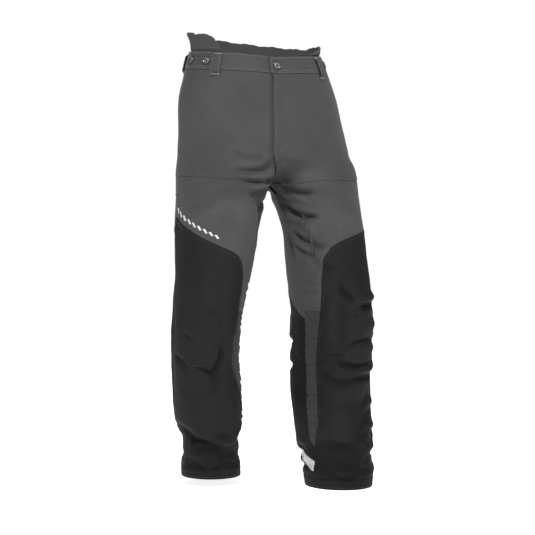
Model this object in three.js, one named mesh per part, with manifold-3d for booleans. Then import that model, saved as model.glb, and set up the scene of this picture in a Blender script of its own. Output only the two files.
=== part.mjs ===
import * as THREE from 'three';
import { mergeVertices } from 'three/addons/utils/BufferGeometryUtils.js';
import Module from 'manifold-3d';

// Protective work trousers for chainsaw use, standing as if worn.
// Millimetres, +Z up, the front faces -Y, the wearer's left is +X.
// The origin is the middle of the waist opening at the height of the front waist edge.

const wasm = await Module();
wasm.setup();

// ---------------------------------------------------------------- driving dimensions
// The pattern is drawn for one size and graded to the wanted waist and leg length.
const PATTERN_WAIST_WIDTH = 348;
const PATTERN_OUTSEAM = 1082;
const WAIST_WIDTH = 348;
const OUTSEAM = 1082;
const WIDTH_GRADE = WAIST_WIDTH / PATTERN_WAIST_WIDTH;
const LENGTH_GRADE = OUTSEAM / PATTERN_OUTSEAM;

// Every "drop" below is a height on the pattern, measured down from the front waist edge.
const CROTCH_DROP = 318;
const RISE_CURVE_HEIGHT = 80;
const BACK_WAIST_RISE = 26;
const RISE_FADES_BY_DROP = 250;

// The loop round the body: one ellipse whose middle line wanders a little as the wearer stands.
// It is drawn deeper near the crotch, where it gives way to the rounder leg loops.
const HIP_STATIONS = [
  { drop: 0, x: 9, y: 0, halfWidth: 174, halfDepth: 123 },
  { drop: 42, x: 13, y: 1, halfWidth: 190, halfDepth: 128 },
  { drop: 100, x: 18, y: 3, halfWidth: 208, halfDepth: 135 },
  { drop: 160, x: 25, y: 4, halfWidth: 219, halfDepth: 142 },
  { drop: 222, x: 33, y: 6, halfWidth: 229, halfDepth: 148 },
  { drop: 240, x: 35, y: 6, halfWidth: 231, halfDepth: 151 },
  { drop: 260, x: 38, y: 7, halfWidth: 234, halfDepth: 166 },
  { drop: 280, x: 40, y: 7, halfWidth: 236, halfDepth: 182 },
  { drop: 300, x: 42, y: 8, halfWidth: 238, halfDepth: 196 },
  { drop: 318, x: 44, y: 8, halfWidth: 240, halfDepth: 200 },
];

// The loop round each leg: centre, half width and half depth at each height.
const RIGHT = -1;
const LEFT = 1;
const LEG_STATIONS = {
  [RIGHT]: [
    { drop: 318, x: -76, y: 8, halfWidth: 120, halfDepth: 144 },
    { drop: 345, x: -85, y: 10, halfWidth: 111, halfDepth: 134 },
    { drop: 400, x: -91, y: 13, halfWidth: 107, halfDepth: 128 },
    { drop: 480, x: -95, y: 18, halfWidth: 101, halfDepth: 120 },
    { drop: 600, x: -106, y: 28, halfWidth: 88, halfDepth: 104 },
    { drop: 690, x: -113, y: 36, halfWidth: 84, halfDepth: 99 },
    { drop: 840, x: -105, y: 48, halfWidth: 82, halfDepth: 95 },
    { drop: 1000, x: -92, y: 60, halfWidth: 77, halfDepth: 88 },
    { drop: 1062, x: -89, y: 65, halfWidth: 76, halfDepth: 85 },
  ],
  [LEFT]: [
    { drop: 318, x: 164, y: 6, halfWidth: 120, halfDepth: 144 },
    { drop: 345, x: 176, y: 0, halfWidth: 110, halfDepth: 133 },
    { drop: 400, x: 188, y: -11, halfWidth: 103, halfDepth: 124 },
    { drop: 480, x: 195, y: -25, halfWidth: 101, halfDepth: 120 },
    { drop: 600, x: 201, y: -46, halfWidth: 101, halfDepth: 118 },
    { drop: 690, x: 194, y: -60, halfWidth: 96, halfDepth: 113 },
    { drop: 840, x: 185, y: -78, halfWidth: 91, halfDepth: 106 },
    { drop: 1000, x: 195, y: -96, halfWidth: 89, halfDepth: 100 },
    { drop: 1082, x: 194, y: -105, halfWidth: 80, halfDepth: 90 },
  ],
};
const HEM_DROP = { [RIGHT]: 1062, [LEFT]: 1082 };
const LEG_TWIST = { [RIGHT]: radians(12), [LEFT]: radians(18) };
const TWIST_HEIGHT = 300;

// Where the cloth is divided so that the hips and the knees can move.
const HIP_HINGE_DROP = 265;
const FRONT_HIP_EDGE = 235;
const SEAT_EDGE = 310;
const THIGH_TOP = 360;
const KNEE_DROP = 720;
const KNEE_BAND = 10;
const KNEE_BEND = radians(70);

// Cloth layers, from the face inwards.
const FACE_CLOTH = 1.6;
const LAYER_GAP = 0.8;
const PAD = 4.2;
const LINING = 0.8;
const PAD_DEPTH = FACE_CLOTH + LAYER_GAP;
const LINING_DEPTH = PAD_DEPTH + PAD + LAYER_GAP;
const SEAM_GAP = 0.5;
const BAND_GAP = 0.8;
const TOUCH = 0.3;

// Waistband, belt loops and the raised back.
const BAND_HEIGHT = 42;
const BAND_THICKNESS = 3.6;
const BAND_OVERLAP = 17;
const BAND_UNDERLAP = 36;
const RAISED_BACK_TUCK = 34;
const RAISED_BACK_CLOTH = 1.6;
const RAISED_BACK_GAP = 0.9;
const RAISED_BACK_FROM = { [RIGHT]: 0.27, [LEFT]: 0.13 };
const RAISED_BACK_HEIGHT = [
  { at: 0.13, height: 22 },
  { at: 0.3, height: 27 },
  { at: 0.38, height: 21 },
  { at: 0.5, height: 15 },
  { at: 0.85, height: 24 },
  { at: 1, height: 31 },
  { at: 1.2, height: 38 },
  { at: 1.5, height: 41 },
  { at: 1.66, height: 42 },
  { at: 1.73, height: 26 },
];
const RUFFLE = 2;
const LOOP_WIDTH = 24;
const LOOP_BOTTOM = 58;
const LOOP_TACK = 8;
const LOOP_STAND_OFF = 6.4;
const LOOP_CLOTH = 1.4;

// Fly and zip.
const FLY_OVERLAP = 12;
const FLY_FACING_FROM = 14;
const FLY_FACING_TO = 30;
const FLY_BOTTOM = 222;
const ZIP_PLANE_DEPTH = 6.8;
const ZIP_TOP = 50;
const ZIP_BOTTOM = 216;
const ZIP_CLEARANCE = 1.4;
const CHAIN_GAP = 1.8;
const CHAIN_WIDTH = 2.7;
const CHAIN_THICKNESS = 2;
const TOOTH_PITCH = 8;
const TAPE_WIDTH = 16;
const TAPE_THICKNESS = 0.6;
const SLIDER_LENGTH = 13;
const SLIDER_WIDTH = 11;
const SLIDER_PLATE = 0.8;
const PULL_LENGTH = 24;

// Buttons.
const BUTTON_DIAMETER = 21;
const BUTTON_THICKNESS = 2.4;
const BUTTON_SHANK = 6;
const BUTTON_STAND = 1.4;
const BUTTON_DROP = 22;
const BUTTONHOLE_LENGTH = 24;

// Reflective tape, hem.
const TAPE_HEIGHT = 24;
const REFLECTIVE_THICKNESS = 0.5;
const TAPE_OUTER_ABOVE_HEM = 146;
const TAPE_INNER_ABOVE_HEM = 54;
const HEM_HEIGHT = 25;
const HEM_THICKNESS = 3.2;

// Round-the-leg positions run from 0 at the front of the inseam to 1 back at the inseam;
// on the hips they run from the front middle to the back middle. The outseam is at one half.
const OUTSEAM_AT = 0.5;
const ROUND_STEPS = 24;
const STEP = 1 / ROUND_STEPS;

// Upper edge of the black guard cloth round the front of the leg, outseam to inner side.
const GUARD_EDGE = [
  { at: 0, drop: 714 },
  { at: 0.07, drop: 700 },
  { at: 0.09, drop: 600 },
  { at: 0.125, drop: 545 },
  { at: 0.1667, drop: 505 },
  { at: 0.25, drop: 468 },
  { at: 0.375, drop: 437 },
  { at: 0.5, drop: 405 },
];
const BACK_GUARD_EDGE = [
  { at: 0.5, drop: 405 },
  { at: 0.75, drop: 535 },
  { at: 1, drop: 662 },
];
// Width of the grey strip beside the inseam below the knee.
const STRIP_EDGE = [
  { drop: 700, at: 0.07 },
  { drop: 840, at: 0.072 },
  { drop: 900, at: 0.05 },
  { drop: 960, at: 0.02 },
  { drop: 1100, at: 0 },
];
const STRIP_END = 960;
const SHIN_PAD_END = 960;

// Heights at which every layer of cloth has a row, so that layers lie parallel.
const LEVELS = [0, 21, 100, 160, 222, 270, 300, 330, 360, 395, 440, 500, 600, 660];
const LOWER_LEVELS = [780, 840, 900, 960, 1010];
const LEAST_ROW = 1.5;

// ---------------------------------------------------------------- materials
const MATERIALS = {
  grey: cloth(0x4f5052, 0.85),
  black: cloth(0x26272a, 0.8),
  strip: cloth(0x55565a, 0.85),
  lining: cloth(0x6a6d66, 0.95),
  pad: cloth(0xd8d4c4, 1),
  reflective: cloth(0xc9ccd0, 0.35),
  knit: cloth(0x3f4143, 0.95),
  tape: cloth(0x202124, 0.9),
  metal: new THREE.MeshStandardMaterial({ color: 0x4a4742, roughness: 0.35, metalness: 1 }),
};

function cloth(color, roughness) {
  return new THREE.MeshStandardMaterial({ color, roughness, metalness: 0 });
}

// ---------------------------------------------------------------- small helpers
function radians(degrees) {
  return (degrees * Math.PI) / 180;
}

function clamp(value, low, high) {
  return Math.min(high, Math.max(low, value));
}

function smoothStep(value) {
  const t = clamp(value, 0, 1);
  return t * t * (3 - 2 * t);
}

function mix(from, to, share) {
  return from + (to - from) * share;
}

// Smooth curve through the stations, kept level past both ends.
function alongStations(stations, key, drop) {
  const last = stations.length - 1;
  if (drop <= stations[0].drop) {
    return stations[0][key];
  }
  if (drop >= stations[last].drop) {
    return stations[last][key];
  }
  let i = 0;
  while (drop > stations[i + 1].drop) {
    i += 1;
  }
  const slopeAt = (k) => {
    const before = stations[Math.max(0, k - 1)];
    const after = stations[Math.min(last, k + 1)];
    return (after[key] - before[key]) / (after.drop - before.drop);
  };
  const span = stations[i + 1].drop - stations[i].drop;
  const t = (drop - stations[i].drop) / span;
  const a = (1 + 2 * t) * (1 - t) * (1 - t);
  const b = t * (1 - t) * (1 - t);
  const c = t * t * (3 - 2 * t);
  const d = t * t * (t - 1);
  return a * stations[i][key] + b * span * slopeAt(i) + c * stations[i + 1][key] + d * span * slopeAt(i + 1);
}

function alongEdge(points, from, to, value) {
  const last = points.length - 1;
  if (value <= points[0][from]) {
    return points[0][to];
  }
  for (let i = 0; i < last; i += 1) {
    if (value <= points[i + 1][from]) {
      const share = (value - points[i][from]) / (points[i + 1][from] - points[i][from]);
      return mix(points[i][to], points[i + 1][to], share);
    }
  }
  return points[last][to];
}

// ---------------------------------------------------------------- the shape of the garment
function hipPoint(side, at, drop) {
  const angle = Math.PI * at;
  const round = Math.abs(at) <= 1 ? Math.abs(at) : 2 - Math.abs(at);
  const rise = BACK_WAIST_RISE * Math.sin((Math.PI / 2) * round);
  const lift = rise * (1 - clamp(drop / RISE_FADES_BY_DROP, 0, 1));
  const read = (key) => alongStations(HIP_STATIONS, key, drop);
  return new THREE.Vector3(
    read('x') + side * read('halfWidth') * Math.sin(angle),
    read('y') - read('halfDepth') * Math.cos(angle),
    lift - drop,
  );
}

function legPoint(side, at, drop) {
  const read = (key) => alongStations(LEG_STATIONS[side], key, drop);
  const angle = 2 * Math.PI * at;
  const twist = LEG_TWIST[side] * smoothStep((drop - CROTCH_DROP) / TWIST_HEIGHT);
  const x = -read('halfWidth') * Math.cos(angle);
  const y = -read('halfDepth') * Math.sin(angle);
  return new THREE.Vector3(
    read('x') + side * (x * Math.cos(twist) - y * Math.sin(twist)),
    read('y') + x * Math.sin(twist) + y * Math.cos(twist),
    -drop,
  );
}

// Below the hips the two halves turn gradually into the two legs, which draws the crotch curve.
function clothPoint(side, at, drop) {
  const legShare = smoothStep((drop - (CROTCH_DROP - RISE_CURVE_HEIGHT)) / RISE_CURVE_HEIGHT);
  let point;
  if (legShare <= 0) {
    point = hipPoint(side, at, drop);
  } else if (legShare >= 1) {
    point = legPoint(side, at, drop);
  } else {
    point = hipPoint(side, at, drop).lerp(legPoint(side, at, drop), legShare);
  }
  point.x = point.x * WIDTH_GRADE + side * 0.35;
  point.y *= WIDTH_GRADE;
  point.z *= LENGTH_GRADE;
  return point;
}

function outwardAt(side, at, drop) {
  const along = clothPoint(side, at + 0.002, drop).sub(clothPoint(side, at - 0.002, drop));
  const down = clothPoint(side, at, drop + 1).sub(clothPoint(side, at, drop - 1));
  return down.cross(along).multiplyScalar(side).normalize();
}

function layerPoint(side, at, drop, depth) {
  const outward = outwardAt(side, at, drop);
  return clothPoint(side, at, drop).addScaledVector(outward, -depth);
}

// How far round one millimetre of cloth reaches at this place.
function roundPerMillimetre(side, at, drop) {
  const ends = clothPoint(side, at + 0.002, drop).sub(clothPoint(side, at - 0.002, drop));
  return 0.004 / ends.length();
}

function kneeAxisY(side) {
  return alongStations(LEG_STATIONS[side], 'y', KNEE_DROP) * WIDTH_GRADE;
}

// The cloth is opened behind the knee so that the lower leg can fold back; -1 thigh edge, 1 shin edge.
function kneeEdge(side, at, away) {
  let drop = KNEE_DROP;
  for (let pass = 0; pass < 12; pass += 1) {
    const behind = Math.max(0, clothPoint(side, at, drop).y - kneeAxisY(side));
    const reach = KNEE_BAND / 2 + behind * Math.tan(KNEE_BEND / 2);
    drop = mix(drop, KNEE_DROP + (away * reach) / LENGTH_GRADE, 0.7);
  }
  return drop;
}

function hipEdge(at) {
  return mix(FRONT_HIP_EDGE, SEAT_EDGE, smoothStep((at - OUTSEAM_AT) / 0.2));
}

// ---------------------------------------------------------------- solids
function solid(name, vertices, triangles, material) {
  let volume = 0;
  const a = new THREE.Vector3();
  for (const [i, j, k] of triangles) {
    volume += a.crossVectors(vertices[i], vertices[j]).dot(vertices[k]);
  }
  const index = [];
  for (const [i, j, k] of triangles) {
    index.push(...(volume > 0 ? [i, j, k] : [i, k, j]));
  }
  const geometry = new THREE.BufferGeometry();
  const flat = vertices.flatMap((v) => [v.x, v.y, v.z]);
  geometry.setAttribute('position', new THREE.Float32BufferAttribute(flat, 3));
  geometry.setIndex(index);
  return finished(name, geometry, material);
}

function finished(name, geometry, material) {
  geometry.computeVertexNormals();
  const mesh = new THREE.Mesh(geometry, material);
  mesh.name = name;
  return mesh;
}

// One piece of cloth: a grid that follows the garment, with a face, a back and four edges.
function clothPanel(name, material, spec) {
  const { side, stops, top, bottom } = spec;
  const depth = spec.depth ?? (() => 0);
  const thickness = spec.thickness ?? (() => FACE_CLOTH);
  const slant = spec.slant ?? ((stop) => stop);
  const columns = stops.length - 1;
  const highest = Math.min(...stops.map(top));
  const lowest = Math.max(...stops.map(bottom));
  const levels = [...LEVELS, ...LOWER_LEVELS].filter((level) => level > highest + 4 && level < lowest - 4);
  const rows = spec.rows ?? levels.length + 1;
  const dropAt = (stop, row) => {
    if (spec.rows !== undefined || row === 0 || row === rows) {
      return mix(top(stop), bottom(stop), row / rows);
    }
    return clamp(levels[row - 1], top(stop) + row * LEAST_ROW, bottom(stop) - (rows - row) * LEAST_ROW);
  };
  const vertices = [];
  for (let layer = 0; layer < 2; layer += 1) {
    for (let row = 0; row <= rows; row += 1) {
      for (const stop of stops) {
        const drop = dropAt(stop, row);
        const at = slant(stop, drop);
        const share = row / rows;
        const inwards = depth(stop, share) + layer * thickness(stop, share);
        vertices.push(layerPoint(side, at, drop, inwards));
      }
    }
  }
  const sheetSize = (rows + 1) * (columns + 1);
  const corner = (layer, row, column) => layer * sheetSize + row * (columns + 1) + column;
  const triangles = [];
  const quad = (p, q, r, s) => {
    triangles.push([p, q, r], [p, r, s]);
  };
  for (let row = 0; row < rows; row += 1) {
    for (let c = 0; c < columns; c += 1) {
      quad(corner(0, row, c), corner(0, row + 1, c), corner(0, row + 1, c + 1), corner(0, row, c + 1));
      quad(corner(1, row, c), corner(1, row, c + 1), corner(1, row + 1, c + 1), corner(1, row + 1, c));
    }
    quad(corner(0, row, 0), corner(1, row, 0), corner(1, row + 1, 0), corner(0, row + 1, 0));
    const e = columns;
    quad(corner(0, row, e), corner(0, row + 1, e), corner(1, row + 1, e), corner(1, row, e));
  }
  for (let c = 0; c < columns; c += 1) {
    quad(corner(0, 0, c), corner(0, 0, c + 1), corner(1, 0, c + 1), corner(1, 0, c));
    quad(corner(0, rows, c), corner(1, rows, c), corner(1, rows, c + 1), corner(0, rows, c + 1));
  }
  return solid(name, vertices, triangles, material);
}

// Steps round the cloth on the shared grid, with the two ends placed exactly.
function roundStops(from, to) {
  const stops = [from];
  for (let k = Math.ceil(from / STEP + 0.15); k * STEP < to - 0.15 * STEP; k += 1) {
    stops.push(k * STEP);
  }
  stops.push(to);
  return stops;
}

function toManifold(geometry) {
  const plain = geometry.clone();
  plain.deleteAttribute('normal');
  plain.deleteAttribute('uv');
  const joined = mergeVertices(plain, 1e-4);
  return new wasm.Manifold(
    new wasm.Mesh({
      numProp: 3,
      vertProperties: Float32Array.from(joined.attributes.position.array),
      triVerts: Uint32Array.from(joined.index.array),
    }),
  );
}

function fromManifold(name, body, material) {
  const made = body.getMesh();
  const geometry = new THREE.BufferGeometry();
  geometry.setAttribute('position', new THREE.Float32BufferAttribute(Array.from(made.vertProperties), 3));
  geometry.setIndex(Array.from(made.triVerts));
  return finished(name, geometry, material);
}

function box(width, height, depth, x, y, z) {
  const geometry = new THREE.BoxGeometry(width, height, depth);
  geometry.translate(x, y, z);
  return geometry;
}

// ---------------------------------------------------------------- waistband and raised back
function waistband(name, side, from, to, depth) {
  return clothPanel(name, MATERIALS.grey, {
    side,
    stops: roundStops(from, to),
    top: () => 0,
    bottom: () => BAND_HEIGHT,
    depth,
    thickness: () => BAND_THICKNESS,
  });
}

function frontRound(millimetres) {
  return millimetres * roundPerMillimetre(LEFT, 0, BAND_HEIGHT);
}

function rightWaistband() {
  const under = BAND_THICKNESS + 0.6;
  const overlapEnd = frontRound(BAND_OVERLAP);
  return clothPanel('waistband_right', MATERIALS.grey, {
    side: RIGHT,
    stops: [
      -frontRound(BAND_UNDERLAP),
      -frontRound(12),
      overlapEnd + frontRound(1),
      overlapEnd + frontRound(9),
      ...roundStops(2 * STEP, OUTSEAM_AT - frontRound(SEAM_GAP)),
    ],
    top: () => 0,
    bottom: () => BAND_HEIGHT,
    depth: (at) => (at <= overlapEnd + frontRound(1.1) ? under : 0),
    thickness: () => BAND_THICKNESS,
  });
}

// The button's place is the middle of the front, where the slot of the overlap is cut.
function leftWaistband() {
  const band = waistband('waistband_left', LEFT, -frontRound(BAND_OVERLAP), OUTSEAM_AT - frontRound(SEAM_GAP), () => 0);
  const place = buttonPlace(LEFT, 0, BUTTON_DROP);
  const slotHeight = BUTTON_SHANK + 2 * TOUCH;
  const radius = slotHeight / 2;
  const run = BUTTONHOLE_LENGTH - slotHeight;
  const slot = new THREE.Shape();
  slot.absarc(0, 0, radius, Math.PI / 2, (3 * Math.PI) / 2, false);
  slot.absarc(run, 0, radius, -Math.PI / 2, Math.PI / 2, false);
  const cutter = new THREE.ExtrudeGeometry(slot, { depth: 16, bevelEnabled: false, curveSegments: 8 });
  cutter.translate(0, 0, -8);
  cutter.applyMatrix4(place);
  const cut = toManifold(band.geometry).subtract(toManifold(cutter));
  return fromManifold('waistband_left', cut, MATERIALS.grey);
}

function raisedBack() {
  const height = (at) => alongEdge(RAISED_BACK_HEIGHT, 'at', 'height', at);
  return clothPanel('raised_back', MATERIALS.knit, {
    side: LEFT,
    stops: roundStops(RAISED_BACK_FROM[LEFT], 2 - RAISED_BACK_FROM[RIGHT]),
    top: (at) => -height(at) - RUFFLE * Math.sin(at * ROUND_STEPS * 2),
    bottom: () => RAISED_BACK_TUCK,
    depth: () => BAND_THICKNESS + RAISED_BACK_GAP,
    thickness: () => RAISED_BACK_CLOTH,
  });
}

function beltLoop(name, side, at) {
  const half = (LOOP_WIDTH / 2) * roundPerMillimetre(side, at, BAND_HEIGHT);
  const tackShare = LOOP_TACK / LOOP_BOTTOM;
  const stand = (share) => {
    const rise = smoothStep(Math.min(share, 1 - share) / tackShare - 0.6);
    return TOUCH + LOOP_STAND_OFF * rise;
  };
  return clothPanel(name, MATERIALS.grey, {
    side,
    stops: roundStops(at - half, at + half),
    rows: 10,
    top: () => 1,
    bottom: () => LOOP_BOTTOM,
    depth: (stop, share) => -stand(share) - LOOP_CLOTH,
    thickness: () => LOOP_CLOTH,
  });
}

// ---------------------------------------------------------------- buttons
// A frame on the cloth: x along the waist, y up, z outwards.
function buttonPlace(side, at, drop) {
  const centre = clothPoint(side, at, drop);
  const out = outwardAt(side, at, drop);
  const up = clothPoint(side, at, drop - 1).sub(clothPoint(side, at, drop + 1)).normalize();
  const along = new THREE.Vector3().crossVectors(up, out).normalize();
  const upright = new THREE.Vector3().crossVectors(out, along).normalize();
  const place = new THREE.Matrix4().makeBasis(along, upright, out);
  place.setPosition(centre);
  return place;
}

// A shank button with a dished face; the lathe profile starts and ends on its axis.
function button(name, side, at, drop, reach) {
  const radius = BUTTON_DIAMETER / 2;
  const shank = BUTTON_SHANK / 2;
  const face = BUTTON_STAND + BUTTON_THICKNESS;
  const profile = [
    new THREE.Vector2(0, -reach),
    new THREE.Vector2(shank, -reach),
    new THREE.Vector2(shank, BUTTON_STAND),
    new THREE.Vector2(radius - 1, BUTTON_STAND),
    new THREE.Vector2(radius, BUTTON_STAND + 0.8),
    new THREE.Vector2(radius - 0.8, face),
    new THREE.Vector2(radius - 2.4, face),
    new THREE.Vector2(radius - 3, face - 0.7),
    new THREE.Vector2(0, face - 0.7),
  ];
  const geometry = new THREE.LatheGeometry(profile, 12);
  geometry.rotateX(Math.PI / 2);
  geometry.applyMatrix4(buttonPlace(side, at, drop));
  return fromManifold(name, toManifold(geometry), MATERIALS.metal);
}

// ---------------------------------------------------------------- hips
function rightFront() {
  const edge = frontRound(FLY_OVERLAP + SEAM_GAP);
  const facing = frontRound(FLY_FACING_TO - 6);
  const facingDepth = ZIP_PLANE_DEPTH - TAPE_THICKNESS / 2 - ZIP_CLEARANCE;
  return clothPanel('front_panel_right', MATERIALS.grey, {
    side: RIGHT,
    stops: [edge, facing, facing + frontRound(1), ...roundStops(2 * STEP, OUTSEAM_AT - frontRound(SEAM_GAP))],
    top: () => BAND_HEIGHT + BAND_GAP,
    bottom: hipEdge,
    thickness: (at) => (at <= facing ? facingDepth : FACE_CLOTH),
  });
}

function leftFront() {
  return clothPanel('front_panel_left', MATERIALS.grey, {
    side: LEFT,
    stops: [-frontRound(FLY_OVERLAP), 0, ...roundStops(STEP, OUTSEAM_AT - frontRound(SEAM_GAP))],
    top: () => BAND_HEIGHT + BAND_GAP,
    bottom: hipEdge,
  });
}

function seatPanel(name, side) {
  return clothPanel(name, MATERIALS.grey, {
    side,
    stops: roundStops(OUTSEAM_AT, 1),
    top: () => BAND_HEIGHT + BAND_GAP,
    bottom: hipEdge,
  });
}

function pocketBag(name, side) {
  return clothPanel(name, MATERIALS.lining, {
    side,
    stops: [6 * STEP, 7 * STEP, 8 * STEP, 9 * STEP, 10 * STEP, 11 * STEP],
    top: () => BAND_HEIGHT + 14,
    bottom: (at) => FRONT_HIP_EDGE - 6 - 20 * Math.abs(at / STEP - 8.5) / 2.5,
    depth: () => FACE_CLOTH + LAYER_GAP,
    thickness: () => LINING,
  });
}

function flyFacing() {
  return clothPanel('fly_facing', MATERIALS.grey, {
    side: LEFT,
    stops: [frontRound(FLY_FACING_FROM), STEP, frontRound(FLY_FACING_TO)],
    top: () => BAND_HEIGHT + BAND_GAP,
    bottom: () => FLY_BOTTOM,
    depth: () => FACE_CLOTH + 0.5,
    thickness: () => ZIP_PLANE_DEPTH - TAPE_THICKNESS / 2 - ZIP_CLEARANCE - (FACE_CLOTH + 0.5),
  });
}

function flyShield() {
  const deep = ZIP_PLANE_DEPTH + CHAIN_THICKNESS / 2 + SLIDER_PLATE + 2.6;
  const shallow = FACE_CLOTH + LAYER_GAP;
  const bend = frontRound(34);
  return clothPanel('fly_shield', MATERIALS.grey, {
    side: RIGHT,
    stops: [-frontRound(24), 0, bend, 2 * STEP, 3 * STEP],
    top: () => BAND_HEIGHT + 4,
    bottom: () => FLY_BOTTOM,
    depth: (at) => (at <= bend ? deep : shallow),
    thickness: () => 1.2,
  });
}

// ---------------------------------------------------------------- zip
// The zip runs straight: x across, y up the fly, z outwards, the origin at its top.
function zipFrame() {
  const place = (drop) => {
    const point = hipPoint(LEFT, 0, drop);
    point.x *= WIDTH_GRADE;
    point.y = point.y * WIDTH_GRADE + ZIP_PLANE_DEPTH;
    point.z *= LENGTH_GRADE;
    return point;
  };
  const top = place(ZIP_TOP);
  const bottom = place(ZIP_BOTTOM);
  const up = top.clone().sub(bottom).normalize();
  const across = new THREE.Vector3(1, 0, 0).addScaledVector(up, -up.x).normalize();
  const out = new THREE.Vector3().crossVectors(across, up);
  const frame = new THREE.Matrix4().makeBasis(across, up, out);
  frame.setPosition(top);
  return { frame, length: top.distanceTo(bottom) };
}

function placedBody(name, parts, frame, material) {
  let body = toManifold(parts[0]);
  for (const part of parts.slice(1)) {
    body = body.add(toManifold(part));
  }
  const mesh = fromManifold(name, body, material);
  mesh.geometry.applyMatrix4(frame);
  return mesh;
}

function zipTape(name, side, zip) {
  const inner = CHAIN_GAP / 2 + CHAIN_WIDTH + TOUCH;
  const tape = box(TAPE_WIDTH, zip.length, TAPE_THICKNESS, side * (inner + TAPE_WIDTH / 2), -zip.length / 2, 0);
  return placedBody(name, [tape], zip.frame, MATERIALS.tape);
}

function zipChain(name, side, zip) {
  const inner = CHAIN_GAP / 2;
  const outer = inner + CHAIN_WIDTH;
  const root = outer - 1.1;
  const shift = side === LEFT ? 0 : TOOTH_PITCH / 2;
  const outline = new THREE.Shape();
  outline.moveTo(side * outer, 0);
  outline.lineTo(side * root, 0);
  for (let y = shift + 1; y + 4 < zip.length - 4; y += TOOTH_PITCH) {
    outline.lineTo(side * root, -y);
    outline.lineTo(side * inner, -y);
    outline.lineTo(side * inner, -y - 4);
    outline.lineTo(side * root, -y - 4);
  }
  outline.lineTo(side * root, -zip.length + 3);
  outline.lineTo(side * outer, -zip.length + 3);
  const comb = new THREE.ExtrudeGeometry(outline, { depth: CHAIN_THICKNESS, bevelEnabled: false });
  comb.translate(0, 0, -CHAIN_THICKNESS / 2);
  return placedBody(name, [comb], zip.frame, MATERIALS.metal);
}

function zipSlider(zip) {
  const clear = CHAIN_THICKNESS / 2 + TOUCH;
  const middle = -SLIDER_LENGTH / 2 - 1;
  const plateZ = clear + SLIDER_PLATE / 2;
  const plates = [-1, 1].map((face) => box(SLIDER_WIDTH, SLIDER_LENGTH, SLIDER_PLATE, 0, middle, face * plateZ));
  const web = box(CHAIN_GAP - 2 * TOUCH, SLIDER_LENGTH - 2, 2 * clear + SLIDER_PLATE, 0, middle, 0);
  return placedBody('zip_slider', [...plates, web], zip.frame, MATERIALS.metal);
}

function zipPull(zip) {
  const face = CHAIN_THICKNESS / 2 + TOUCH + SLIDER_PLATE + TOUCH;
  const tab = box(6, PULL_LENGTH, 1.1, 0, -SLIDER_LENGTH / 2 - PULL_LENGTH / 2 + 3, face + 0.55);
  return placedBody('zip_pull', [tab], zip.frame, MATERIALS.metal);
}

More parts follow.
